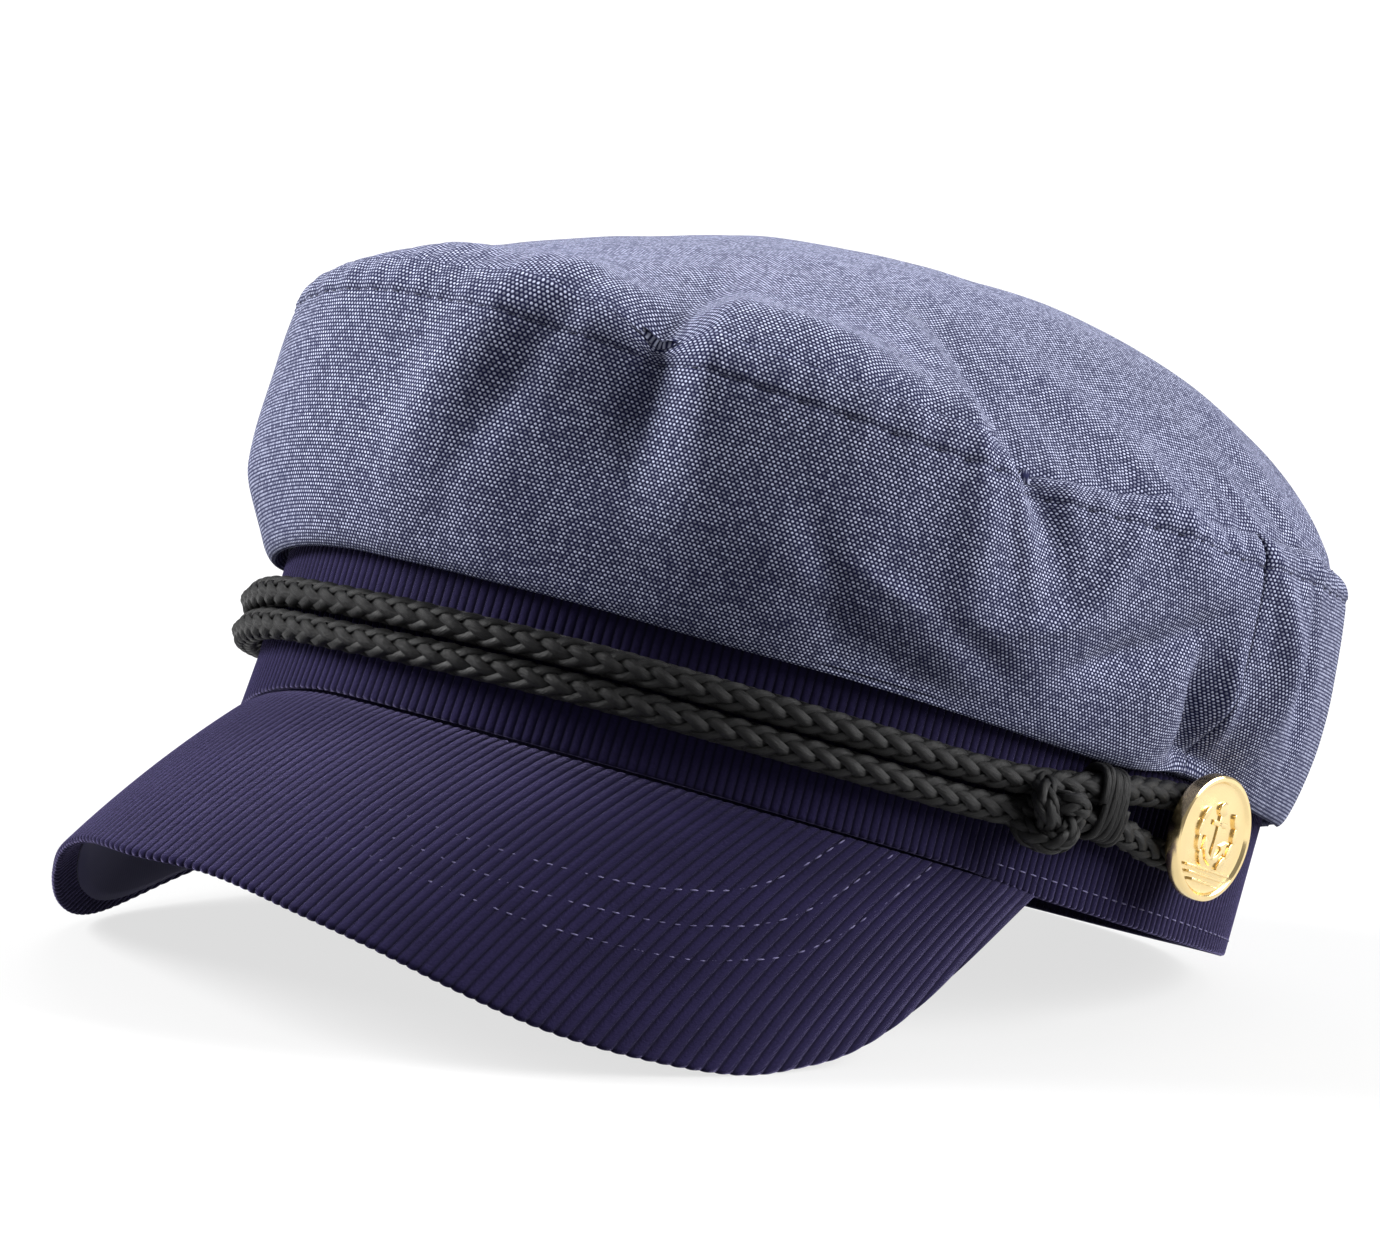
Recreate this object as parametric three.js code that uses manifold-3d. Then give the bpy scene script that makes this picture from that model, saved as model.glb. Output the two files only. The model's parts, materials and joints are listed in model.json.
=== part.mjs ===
// A soft peaked sailor's cap: a puffed cloth crown on a corduroy band, a stiff corduroy peak,
// a doubled braided cord with two sliding knots across the front, and a metal button at each side.
// Millimetres, +Z up. The cap stands as it would on a table, on the two drooping sides of its peak
// and on the back of its band. The peak points to -Y and the wearer's left is +X.
import * as THREE from "three";
import { mergeVertices } from "three/addons/utils/BufferGeometryUtils.js";
import Module from "manifold-3d";

const wasm = await Module();
wasm.setup();

// Everything on the head is drawn in the head frame, whose z = 0 is the plane of the band's lower edge.
// The last section turns that frame so that the cap stands on the table.

// Band
const HEAD_FRONT = 101; // from the middle of the head to the outside of the band, at the forehead
const HEAD_BACK = 99;
const HEAD_SIDE = 83;
const FRONT_SQUARENESS = 2.05; // 2 is an ellipse, more is squarer
const BACK_SQUARENESS = 2.6;
const BAND_HEIGHT = 27.5;
const BAND_WALL = 2.4;
const BAND_FLARE = 2; // how far the peak pushes the band's lower edge out
const CLEARANCE = 0.35; // between two pieces that are sewn or seated on each other
const RIGHT_SAG = 5; // how far the soft cap hangs lower at the right of the forehead
const EDGE_SAG = 3.5; // how much further the band's lower edge hangs there
const RIGHT_PRESS = 5.5; // and how far its band is pressed in

// Crown
const CROWN_WALL = 1.5;
const CROWN_RISE = 50; // from the band's top edge to the seam round the top panel, at the forehead
const SIDE_DIP = 4; // how much lower that seam is at the sides
const BACK_DIP = 1; // and at the back
const DOME_RISE = 34.5; // from the seam at the sides to the middle of the top panel
const DOME_FRONT_POWER = 1.45; // how bluntly the top panel rises from its front edge, and from its back
const DOME_BACK_POWER = 3.5;
const FRONT_OVERHANG = 9.5; // how far the crown stands out past the band
const SIDE_OVERHANG = 9;
const BACK_OVERHANG = 5;
const PUFF_DROP = 2.5; // how far the crown's cloth hangs below the band's top edge
const FOLD_DEPTH = 8;
const SIDE_SEAM_ANGLE = 108; // degrees from the forehead, above each button

// Peak
const PEAK_LENGTH = 55; // along the wales, at the middle
const PEAK_WALL = 3;
const PEAK_EDGE = 1.8; // thickness at the turned edge
const PEAK_END_ANGLE = 89; // degrees from the forehead to where the peak leaves the band
const PEAK_SLOPE = 36; // degrees below the plane of the band where it leaves the band, at the middle
const PEAK_END_SLOPE = 46; // and at its two ends
const PEAK_BEND = 14; // degrees that it turns down from there to the middle of its edge
const PEAK_RIGHT_SHARE = 0.86; // length of its sagging side, as a share of the other side's
const PEAK_RIGHT_CUT = 0.26; // and what that side's end is shorter by, as a share
const PEAK_RIGHT_DROOP = 6.5; // degrees that the sagging side is steeper
const PEAK_DROOP_ANGLE = 20; // degrees from the forehead to where it starts to grow steeper

// Cord
const CORD_DIAMETER = 5.6;
const BINDING_ANGLE = 92.3; // degrees from the forehead to the middle of each knot's binding
const BINDING_LENGTH = 8.4; // along the cord
const BINDING_WRAPS = 4;
const BINDING_THICKNESS = 1.2;
const BALL_ANGLE = 82.3; // to the middle of the balled end of each knot
const BALL_HEIGHT = 13.6;
const BALL_LENGTH = 16.5; // along the cord
const BALL_WIDTH = 15.5;
const BALL_THICKNESS = 12.5;

// Buttons
const BUTTON_ANGLE = 110.8; // degrees from the forehead
const BUTTON_HEIGHT = 18.5; // from the band's lower edge
const BUTTON_DIAMETER = 23.5;
const BUTTON_THICKNESS = 3.2;
const BUTTON_RIM = 1.3; // width of its raised rim
const SHANK_DIAMETER = 4;
const RELIEF_HEIGHT = 0.5;

// How finely the soft pieces are divided
const TURNS = 68; // round the head
const PEAK_STEPS = 32;
const CORD_SIDES = 8;
const CORD_STEPS = 3; // between two rows of its table

const rad = THREE.MathUtils.degToRad;
const lerp = THREE.MathUtils.lerp;
const smooth = THREE.MathUtils.smoothstep;
const angles = (count, from, to) => Array.from({ length: count + 1 }, (_, i) => lerp(from, to, i / count));

// Distance from the middle of the head to the outside of the band, at an angle from the forehead.
function headRadius(angle) {
  const ahead = Math.cos(angle);
  const length = ahead > 0 ? HEAD_FRONT : HEAD_BACK;
  const squareness = ahead > 0 ? FRONT_SQUARENESS : BACK_SQUARENESS;
  const sum = (Math.abs(ahead) / length) ** squareness + (Math.abs(Math.sin(angle)) / HEAD_SIDE) ** squareness;
  return sum ** (-1 / squareness);
}

// How much of what comes at the right of the forehead there is at an angle: it comes between two
// angles and goes again between two others.
function atRight(angle, [from, full, fading, gone]) {
  const right = -Math.atan2(Math.sin(angle), Math.cos(angle));
  return smooth(right, rad(from), rad(full)) * (1 - smooth(right, rad(fading), rad(gone)));
}
const SAG_ANGLES = [0, 38, 42, 100];
const PRESS_ANGLES = [5, 52, 75, 125];

// A point round the head, out from the band's face and at a height. The press dies out in the crown.
function roundHead(angle, out, height) {
  const sag = RIGHT_SAG + EDGE_SAG * (1 - smooth(height, 0, 0.4 * BAND_HEIGHT));
  const press = RIGHT_PRESS * (1 - smooth(height, BAND_HEIGHT, BAND_HEIGHT + 0.3 * CROWN_RISE));
  const radius = headRadius(angle) + out - press * atRight(angle, PRESS_ANGLES);
  return new THREE.Vector3(
    radius * Math.sin(angle),
    -radius * Math.cos(angle),
    height - sag * atRight(angle, SAG_ANGLES)
  );
}

// The direction that the band's face looks in, at an angle from the forehead.
function faceDirection(angle) {
  const step = 0.01;
  const along = roundHead(angle + step, 0, 0).sub(roundHead(angle - step, 0, 0));
  return new THREE.Vector3(along.y, -along.x, 0).normalize();
}

// One solid through a list of rings with as many points each. Its ends are "joined" to each other, or
// each is closed by a "fan" from its middle, or across the "wall" between a ring's two halves.
function loft(rings, ends) {
  const size = rings[0].length;
  const points = rings.flat();
  const faces = [];
  const last = ends === "joined" ? rings.length : rings.length - 1;
  for (let r = 0; r < last; r++) {
    const here = r * size;
    const next = ((r + 1) % rings.length) * size;
    for (let i = 0; i < size; i++) {
      const j = (i + 1) % size;
      faces.push(here + i, here + j, next + j, here + i, next + j, next + i);
    }
  }
  const end = (rings.length - 1) * size;
  if (ends === "wall") {
    for (let i = 0; i < size / 2 - 1; i++) {
      const [a, b, c, d] = [i, i + 1, size - 2 - i, size - 1 - i];
      faces.push(a, c, b, a, d, c, end + a, end + b, end + c, end + a, end + c, end + d);
    }
  }
  if (ends === "fan") {
    const middles = [rings[0], rings[rings.length - 1]].map((ring) =>
      ring.reduce((sum, p) => sum.add(p), new THREE.Vector3()).divideScalar(size)
    );
    points.push(...middles);
    for (let i = 0; i < size; i++) {
      const j = (i + 1) % size;
      faces.push(j, i, points.length - 2, end + i, end + j, points.length - 1);
    }
  }
  const geometry = new THREE.BufferGeometry().setFromPoints(points);
  geometry.setIndex(faces);
  return facingOut(geometry);
}

// Turns a closed geometry's faces round if they look inwards.
function facingOut(geometry) {
  const at = geometry.attributes.position;
  const index = geometry.index.array;
  const [a, b, c] = [0, 1, 2].map(() => new THREE.Vector3());
  let volume = 0;
  for (let i = 0; i < index.length; i += 3) {
    a.fromBufferAttribute(at, index[i]);
    b.fromBufferAttribute(at, index[i + 1]);
    c.fromBufferAttribute(at, index[i + 2]);
    volume += a.dot(b.cross(c));
  }
  if (volume < 0) for (let i = 0; i < index.length; i += 3) [index[i], index[i + 1]] = [index[i + 1], index[i]];
  return geometry;
}

// A geometry as a manifold-3d solid, and back.
function toSolid(geometry) {
  const bare = geometry.clone();
  bare.deleteAttribute("normal");
  bare.deleteAttribute("uv");
  const merged = mergeVertices(bare, 1e-4);
  return new wasm.Manifold(
    new wasm.Mesh({
      numProp: 3,
      vertProperties: merged.attributes.position.array,
      triVerts: new Uint32Array(merged.index.array),
    })
  );
}

function toGeometry(solid) {
  const mesh = solid.getMesh();
  return new THREE.BufferGeometry()
    .setAttribute("position", new THREE.BufferAttribute(Float32Array.from(mesh.vertProperties), 3))
    .setIndex(new THREE.BufferAttribute(Uint32Array.from(mesh.triVerts), 1));
}

// Materials, with the colours of the cloths and metal
const chambray = new THREE.MeshStandardMaterial({ color: 0x6f7592, roughness: 0.95, metalness: 0 });
const corduroy = new THREE.MeshStandardMaterial({ color: 0x2a2550, roughness: 0.9, metalness: 0 });
const blackCord = new THREE.MeshStandardMaterial({ color: 0x1c1c1e, roughness: 0.6, metalness: 0 });
const gilt = new THREE.MeshStandardMaterial({ color: 0xe6bd62, roughness: 0.22, metalness: 1 });

const cap = new THREE.Group(); // in the head frame
function addPiece(name, geometry, material) {
  const mesh = new THREE.Mesh(geometry, material);
  mesh.name = name;
  cap.add(mesh);
  return mesh;
}

// Band: a strip of cloth round the head. Its lower edge is pushed out a little by the peak.
// Height is a share of BAND_HEIGHT and out a share of BAND_FLARE.
const BAND_SECTIONS = [
  { height: 0, out: 0.5 },
  { height: 0.3, out: 0.1 },
  { height: 1, out: 0 },
];

function bandOut(angle, out) {
  return BAND_FLARE * out * (1 - smooth(Math.abs(angle), rad(60), rad(PEAK_END_ANGLE)));
}

function makeBand() {
  const turn = angles(TURNS, -Math.PI, Math.PI).slice(0, -1);
  const ring = (row, depth) => turn.map((a) => roundHead(a, bandOut(a, row.out) - depth, row.height * BAND_HEIGHT));
  const outside = BAND_SECTIONS.map((row) => ring(row, 0));
  const inside = BAND_SECTIONS.map((row) => ring(row, BAND_WALL)).reverse();
  return loft([...outside, ...inside], "joined");
}
addPiece("band", makeBand(), corduroy);

// Crown. Its cloth is drawn by level: 0 is the seam on the band's top edge, 1 the seam round the top
// panel and 2 the middle of the top. Rise is a share of CROWN_RISE, drop of PUFF_DROP, and front,
// side and back are shares of the three overhangs.
const CROWN_SECTIONS = [
  { level: 0.0, rise: 0.0, drop: 0.0, front: -0.1, side: -0.1, back: -0.2 },
  { level: 0.03, rise: 0.0, drop: 0.1, front: 0.08, side: 0.08, back: 0.2 },
  { level: 0.07, rise: 0.0, drop: 0.9, front: 0.25, side: 0.27, back: 0.65 },
  { level: 0.13, rise: 0.05, drop: 0.8, front: 0.5, side: 0.55, back: 0.9 },
  { level: 0.25, rise: 0.2, drop: 0.0, front: 0.8, side: 0.87, back: 1.05 },
  { level: 0.42, rise: 0.39, drop: 0.0, front: 0.97, side: 1.0, back: 1.1 },
  { level: 0.62, rise: 0.61, drop: 0.0, front: 1.0, side: 1.0, back: 0.95 },
  { level: 0.8, rise: 0.81, drop: 0.0, front: 1.0, side: 0.86, back: 0.75 },
  { level: 0.92, rise: 0.93, drop: 0.0, front: 0.93, side: 0.65, back: 0.5 },
  { level: 1.0, rise: 1.0, drop: 0.0, front: 0.7, side: 0.4, back: -0.05 },
];

// Folds and dents, seen from outside. Angle is in degrees from the forehead, towards the wearer's
// left, and level as above. Length and width are shares of CROWN_RISE and depth is a share of
// FOLD_DEPTH, less than nothing for a ridge. Lean turns the fold, in degrees from upright.
const CROWN_FOLDS = [
  { angle: 25, level: 0.9, length: 0.26, width: 0.1, depth: 0.22, lean: 4 },
  { angle: 24, level: 0.58, length: 0.36, width: 0.28, depth: 0.55, lean: -6 },
  { angle: 9, level: 0.75, length: 0.45, width: 0.14, depth: -0.3, lean: -12 },
  { angle: 70, level: 0.98, length: 0.36, width: 0.34, depth: 0.62, lean: 8 },
  { angle: 63, level: 0.66, length: 0.32, width: 0.11, depth: -0.32, lean: 4 },
  { angle: 90, level: 1.0, length: 0.5, width: 0.14, depth: -0.3, lean: 24 },
  { angle: 60, level: 0.12, length: 0.1, width: 0.5, depth: 0.3, lean: 0 },
  { angle: 90, level: 0.42, length: 0.12, width: 0.4, depth: 0.3, lean: -30 },
  { angle: 103, level: 0.42, length: 0.2, width: 0.14, depth: 0.4, lean: 0 },
  { angle: 109, level: 0.1, length: 0.24, width: 0.24, depth: 0.6, lean: 4 },
  { angle: 117, level: 0.62, length: 0.6, width: 0.12, depth: -0.25, lean: 12 },
  { angle: 146, level: 0.2, length: 0.35, width: 0.12, depth: 0.45, lean: 8 },
  { angle: 171, level: 0.9, length: 0.45, width: 0.2, depth: 0.6, lean: -8 },
  { angle: -160, level: 0.22, length: 0.35, width: 0.12, depth: 0.45, lean: 0 },
  { angle: -136, level: 0.85, length: 0.5, width: 0.18, depth: 0.6, lean: 10 },
  { angle: -109, level: 0.1, length: 0.24, width: 0.24, depth: 0.6, lean: -4 },
  { angle: -92, level: 0.95, length: 0.4, width: 0.2, depth: 0.7, lean: -12 },
  { angle: -68, level: 0.3, length: 0.14, width: 0.45, depth: 0.35, lean: 4 },
];

// A table's column at a level, along a smooth curve through its rows.
function column(rows, name, level) {
  const n = rows.length - 1;
  const found = rows.findIndex((row) => row.level >= level);
  const i = Math.max(found < 0 ? n : found, 1);
  const slope = (k) => {
    const [a, b] = [rows[Math.max(k - 1, 0)], rows[Math.min(k + 1, n)]];
    return (b[name] - a[name]) / (b.level - a.level);
  };
  const [a, b] = [rows[i - 1], rows[i]];
  const span = b.level - a.level;
  const t = (level - a.level) / span;
  return (
    (2 * t ** 3 - 3 * t ** 2 + 1) * a[name] +
    (t ** 3 - 2 * t ** 2 + t) * span * slope(i - 1) +
    (3 * t ** 2 - 2 * t ** 3) * b[name] +
    (t ** 3 - t ** 2) * span * slope(i)
  );
}

// How far the crown's side stands out from the band.
function overhang(angle, level) {
  const front = column(CROWN_SECTIONS, "front", level) * FRONT_OVERHANG;
  const side = column(CROWN_SECTIONS, "side", level) * SIDE_OVERHANG;
  const back = column(CROWN_SECTIONS, "back", level) * BACK_OVERHANG;
  const end = Math.cos(angle) > 0 ? front : back;
  return lerp(side, end, Math.abs(Math.cos(angle)) ** 1.6);
}

// How deep the folds are at a place on the crown.
function foldDepth(angle, level) {
  let depth = 0;
  for (const fold of CROWN_FOLDS) {
    const round = Math.atan2(Math.sin(angle - rad(fold.angle)), Math.cos(angle - rad(fold.angle)));
    const across = (round * (HEAD_SIDE + SIDE_OVERHANG) * Math.min(1, 2 - level)) / CROWN_RISE;
    const up = level - fold.level;
    const lean = rad(fold.lean);
    const x = (across * Math.cos(lean) - up * Math.sin(lean)) / fold.width;
    const y = (across * Math.sin(lean) + up * Math.cos(lean)) / fold.length;
    depth += fold.depth * Math.exp(-x * x - y * y);
  }
  return FOLD_DEPTH * depth * smooth(level, 0.02, 0.15);
}

// Height of the seam round the top panel.
function seamHeight(angle) {
  const dip = Math.cos(angle) > 0 ? 0 : BACK_DIP;
  return BAND_HEIGHT + CLEARANCE + CROWN_RISE - lerp(SIDE_DIP, dip, Math.cos(angle) ** 2);
}

// The crown's smooth shape, without folds. The cloth leaves the band's top edge, turns over it and
// hangs a little lower before it rises.
function crownShape(angle, level) {
  if (level <= 1) {
    const rise = column(CROWN_SECTIONS, "rise", level);
    const fromButton = Math.acos(Math.cos(angle)) - rad(BUTTON_ANGLE);
    const overButton = Math.exp(-((fromButton / rad(10)) ** 2));
    const drop = column(CROWN_SECTIONS, "drop", level) * PUFF_DROP * (1 - overButton);
    return roundHead(angle, overhang(angle, level), lerp(BAND_HEIGHT + CLEARANCE, seamHeight(angle), rise) - drop);
  }
  const shrink = 2 - level;
  const edge = roundHead(angle, overhang(angle, 1), seamHeight(angle));
  const power = (DOME_FRONT_POWER + DOME_BACK_POWER) / 2 - ((DOME_BACK_POWER - DOME_FRONT_POWER) / 2) * Math.cos(angle);
  const dome = DOME_RISE * (1 - shrink ** power);
  const height = lerp(seamHeight(Math.PI / 2), edge.z, shrink ** 2) + dome;
  return new THREE.Vector3(edge.x * shrink, edge.y * shrink, height);
}

// Directions on the crown's smooth shape: round the head, up the cloth and outward.
function crownDirections(angle, level) {
  const step = 0.02;
  const most = Math.min(level, 1.97);
  const round = crownShape(angle + step, most).sub(crownShape(angle - step, most)).normalize();
  const up = crownShape(angle, most + step).sub(crownShape(angle, Math.max(most - step, 0))).normalize();
  return { round, up, out: round.clone().cross(up).normalize() };
}

// A point of a crown panel. The seams are levels and angles that two panels share, and there each
// panel stops half a CLEARANCE short: aside is -1, 0 or 1 along the round, and above along the cloth.
function crownPoint(angle, level, inset, aside = 0, above = 0) {
  const { round, up, out } = crownDirections(angle, level);
  return crownShape(angle, level)
    .addScaledVector(out, -foldDepth(angle, level) - inset)
    .addScaledVector(round, 0.5 * CLEARANCE * aside)
    .addScaledVector(up, 0.5 * CLEARANCE * above);
}

// A side panel of the crown, between two of the upright seams.
const PANEL_LEVELS = [0, 0.03, 0.07, 0.13, 0.23, 0.38, 0.55, 0.73, 0.88, 1];
function makeSidePanel(from, to, steps) {
  const sections = angles(steps, from, to).map((a, i) => {
    const aside = i === 0 ? 1 : i === steps ? -1 : 0;
    const edge = (inset) => PANEL_LEVELS.map((level) => crownPoint(a, level, inset, aside, level === 1 ? -1 : 0));
    return [...edge(0), ...edge(CROWN_WALL).reverse()];
  });
  return loft(sections, "wall");
}
const seam = rad(SIDE_SEAM_ANGLE);
const frontSteps = Math.round((TURNS * SIDE_SEAM_ANGLE) / 180);
addPiece("crown_front_panel", makeSidePanel(-seam, seam, frontSteps), chambray);
addPiece("crown_back_panel", makeSidePanel(seam, 2 * Math.PI - seam, TURNS - frontSteps), chambray);

// The crown's top panel, an oval with a puffed middle.
const TOP_LEVELS = [1, 1.08, 1.2, 1.38, 1.6, 1.83];
function makeTopPanel() {
  const turn = angles(TURNS, -Math.PI, Math.PI).slice(0, -1);
  const rings = (inset) =>
    TOP_LEVELS.map((level) => turn.map((a) => crownPoint(a, level, inset, 0, level === 1 ? 1 : 0)));
  return loft([...rings(0).reverse(), ...rings(CROWN_WALL)], "fan");
}
addPiece("crown_top_panel", makeTopPanel(), chambray);

// Peak: a stiff crescent covered in cloth. It is a sheet whose wales run straight out from the band
// and down, so its two sides droop past the temples. Level is a share of PEAK_END_ANGLE, and length
// a share of PEAK_LENGTH.
const PEAK_OUTLINE = [
  { level: 0.0, length: 0.985 },
  { level: 0.12, length: 0.975 },
  { level: 0.26, length: 1.05 },
  { level: 0.45, length: 1.175 },
  { level: 0.58, length: 1.17 },
  { level: 0.68, length: 1.14 },
  { level: 0.8, length: 1.05 },
  { level: 0.87, length: 0.945 },
  { level: 0.91, length: 0.86 },
  { level: 0.945, length: 0.68 },
  { level: 0.965, length: 0.42 },
  { level: 0.98, length: 0.16 },
  { level: 1.0, length: 0.0 },
];
const PEAK_ROWS = [0, 0.15, 0.35, 0.55, 0.75, 0.9, 1];

function peakSheet(angle, out) {
  const sideways = smooth(Math.abs(angle), rad(PEAK_DROOP_ANGLE), rad(PEAK_END_ANGLE));
  const slope = rad(lerp(PEAK_SLOPE, PEAK_END_SLOPE, sideways) + PEAK_RIGHT_DROOP * atRight(angle, SAG_ANGLES));
  const bend = rad(PEAK_BEND) / PEAK_LENGTH;
  const ahead = (Math.sin(slope + bend * out) - Math.sin(slope)) / bend;
  const down = (Math.cos(slope) - Math.cos(slope + bend * out)) / bend;
  const start = roundHead(angle, bandOut(angle, BAND_SECTIONS[0].out), -CLEARANCE);
  return start.add(new THREE.Vector3(0, -ahead, -down));
}

// How long the peak is at an angle.
function peakLength(angle) {
  const sagging = lerp(1, PEAK_RIGHT_SHARE, smooth(-angle, 0, rad(28)));
  const rightShare = sagging * (1 - PEAK_RIGHT_CUT * smooth(-angle, rad(40), rad(75)));
  const outline = column(PEAK_OUTLINE, "length", Math.abs(angle) / rad(PEAK_END_ANGLE));
  return PEAK_LENGTH * rightShare * Math.max(outline, 0.02);
}

// A point of the peak: across runs from -1 to 1 from end to end, and row from 0 at the band to 1 at
// the edge. Towards the ends the rows fan out, because there the edge comes back along the wales.
function peakPoint(across, row, depth) {
  const end = rad(PEAK_END_ANGLE);
  const outer = Math.sign(across) * Math.sin((Math.abs(across) * Math.PI) / 2);
  const angle = end * lerp(across, outer, row);
  const length = row * peakLength(end * outer);
  const step = 0.01;
  const round = peakSheet(angle + step, length).sub(peakSheet(angle - step, length));
  const away = peakSheet(angle, length + step).sub(peakSheet(angle, length - step));
  const normal = away.clone().cross(round).normalize();
  const point = peakSheet(angle, length).addScaledVector(normal, -depth);
  if (row > 0) return point;
  return point.addScaledVector(away, (peakSheet(angle, 0).z - point.z) / away.z); // level, under the band
}

function makePeak() {
  const thickness = (row) => lerp(PEAK_WALL, PEAK_EDGE, smooth(row, 0.75, 1));
  const sections = angles(PEAK_STEPS, -1, 1).map((across) => [
    ...PEAK_ROWS.map((row) => peakPoint(across, row, 0)),
    ...PEAK_ROWS.map((row) => peakPoint(across, row, thickness(row))).reverse(),
  ]);
  return loft(sections, "wall");
}
addPiece("peak", makePeak(), corduroy);

// Cord: one loop, drawn from its middle at the forehead along the upper strand, round the wearer's
// left button and back along the lower strand. The other half mirrors it. Angle is in degrees from
// the forehead, height from the band's lower edge, and out is how far the strand is held off the band.
const CORD_PATH = [
  { angle: 0, height: 16.2, out: 0 },
  { angle: 14, height: 16.8, out: 0 },
  { angle: 28, height: 17.3, out: 0 },
  { angle: 42, height: 17.4, out: 0 },
  { angle: 58, height: 17.5, out: 0 },
  { angle: 74, height: 17.8, out: 0 },
  { angle: 84, height: 19.2, out: 0.6 },
  { angle: 92.3, height: 21.3, out: 1.3 },
  { angle: 99, height: 22.7, out: 0.6 },
  { angle: 105, height: 23.7, out: 0 },
  { angle: 110.6, height: 24.0, out: 0 },
  { angle: 113.4, height: 22.6, out: 0 },
  { angle: 114.7, height: 18.7, out: 0 },
  { angle: 113.4, height: 14.8, out: 0 },
  { angle: 110.6, height: 13.4, out: 0 },
  { angle: 105, height: 13.2, out: 0 },
  { angle: 99, height: 14.4, out: 0.6 },
  { angle: 92.3, height: 15.4, out: 1.3 },
  { angle: 84, height: 13.3, out: 0.6 },
  { angle: 74, height: 11.8, out: 0 },
  { angle: 58, height: 11.6, out: 0 },
  { angle: 42, height: 11.5, out: 0 },
  { angle: 28, height: 11.4, out: 0 },
  { angle: 14, height: 10.8, out: 0 },
  { angle: 0, height: 9.9, out: 0 },
];

function cordPlace(row, side) {
  const angle = side * rad(row.angle);
  const place = roundHead(angle, bandOut(angle, 0.1), row.height);
  return place.addScaledVector(faceDirection(angle), 0.5 * CORD_DIAMETER + CLEARANCE + row.out);
}

function makeStrands() {
  const inner = CORD_PATH.slice(1, -1);
  const path = [
    ...CORD_PATH.map((row) => cordPlace(row, 1)),
    ...inner.map((row) => cordPlace(row, -1)).reverse(),
  ];
  const curve = new THREE.CatmullRomCurve3(path, true);
  const count = path.length * CORD_STEPS;
  const rings = angles(count, 0, 1)
    .slice(0, -1)
    .map((t) => {
      const middle = curve.getPoint(t);
      const along = curve.getTangent(t);
      const out = faceDirection(Math.atan2(middle.x, -middle.y));
      const up = along.clone().cross(out).normalize();
      out.copy(up).cross(along);
      return angles(CORD_SIDES, 0, 2 * Math.PI)
        .slice(0, -1)
        .map((a) =>
          middle
            .clone()
            .addScaledVector(out, 0.5 * CORD_DIAMETER * Math.cos(a))
            .addScaledVector(up, 0.5 * CORD_DIAMETER * Math.sin(a))
        );
    });
  return loft(rings, "joined");
}

// A frame on the band's face: x along the band towards the back, y up and z out.
function onBand(angle, height) {
  const out = faceDirection(angle);
  const up = new THREE.Vector3(0, 0, 1);
  const origin = roundHead(angle, bandOut(angle, 0.1), height);
  return new THREE.Matrix4().makeBasis(up.clone().cross(out), up, out).setPosition(origin);
}

// The binding of a knot: turns of cord round both strands.
function makeBinding(side) {
  const rows = CORD_PATH.filter((row) => row.angle === BINDING_ANGLE);
  const height = (rows[0].height + rows[1].height) / 2;
  const halfHeight = (rows[0].height - rows[1].height) / 2 + 0.5 * CORD_DIAMETER + BINDING_THICKNESS;
  const halfDepth = 0.5 * CORD_DIAMETER + BINDING_THICKNESS;
  const middle = 0.5 * CORD_DIAMETER + CLEARANCE + rows[0].out;
  const sections = angles(2 * BINDING_WRAPS, -0.5, 0.5).map((share, i) => {
    const groove = i % 2 === 0 ? 0.7 : 0;
    return angles(12, 0, 2 * Math.PI)
      .slice(0, -1)
      .map((a) => {
        const x = (halfDepth - groove) * Math.sign(Math.cos(a)) * Math.abs(Math.cos(a)) ** 0.7;
        const y = (halfHeight - groove) * Math.sign(Math.sin(a)) * Math.abs(Math.sin(a)) ** 0.7;
        return new THREE.Vector3(share * BINDING_LENGTH, y, middle + x);
      });
  });
  return loft(sections, "fan").applyMatrix4(onBand(side * rad(BINDING_ANGLE), height));
}

// The balled end of a knot, lumpy like cord that is tied over itself.
function makeBall(side) {
  const ball = mergeVertices(new THREE.IcosahedronGeometry(1, 2).deleteAttribute("normal").deleteAttribute("uv"));
  const at = ball.attributes.position;
  const point = new THREE.Vector3();
  for (let i = 0; i < at.count; i++) {
    point.fromBufferAttribute(at, i);
    const lump = 1 - 0.07 * Math.cos(7 * point.x + 4 * point.y) * Math.cos(6 * point.y - 3 * point.x);
    at.setXYZ(
      i,
      0.5 * BALL_LENGTH * lump * point.x,
      0.5 * BALL_WIDTH * lump * point.y,
      0.5 * BALL_THICKNESS * (lump * point.z + 1.16) + CLEARANCE
    );
  }
  return ball.applyMatrix4(onBand(side * rad(BALL_ANGLE), BALL_HEIGHT));
}

let cord = toSolid(makeStrands());
for (const side of [-1, 1]) cord = cord.add(toSolid(makeBinding(side))).add(toSolid(makeBall(side)));
addPiece("cord", toGeometry(cord), blackCord);

// Buttons: a cast disc on a shank, with a raised rim, and a raised anchor between two sprigs over
// ruled lines. Drawn with x across, y up and z out from the band. Shares are of the button's radius.
const BUTTON_SPRIG = [
  { x: 0.3, y: -0.34, turn: 58 },
  { x: 0.44, y: -0.12, turn: 74 },
  { x: 0.49, y: 0.12, turn: 98 },
  { x: 0.43, y: 0.34, turn: 120 },
];
const BUTTON_RULES = [-0.5, -0.6, -0.7];
const ANCHOR_BARS = [
  [-0.045, -0.34, 0.045, 0.38],
  [-0.2, 0.2, 0.2, 0.28],
];
const ANCHOR_ARM = [
  [0, -0.42],
  [0.17, -0.34],
  [0.27, -0.18],
  [0.33, -0.22],
  [0.32, 0.01],
  [0.13, -0.08],
  [0.2, -0.13],
  [0.12, -0.24],
  [0, -0.3],
];

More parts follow.
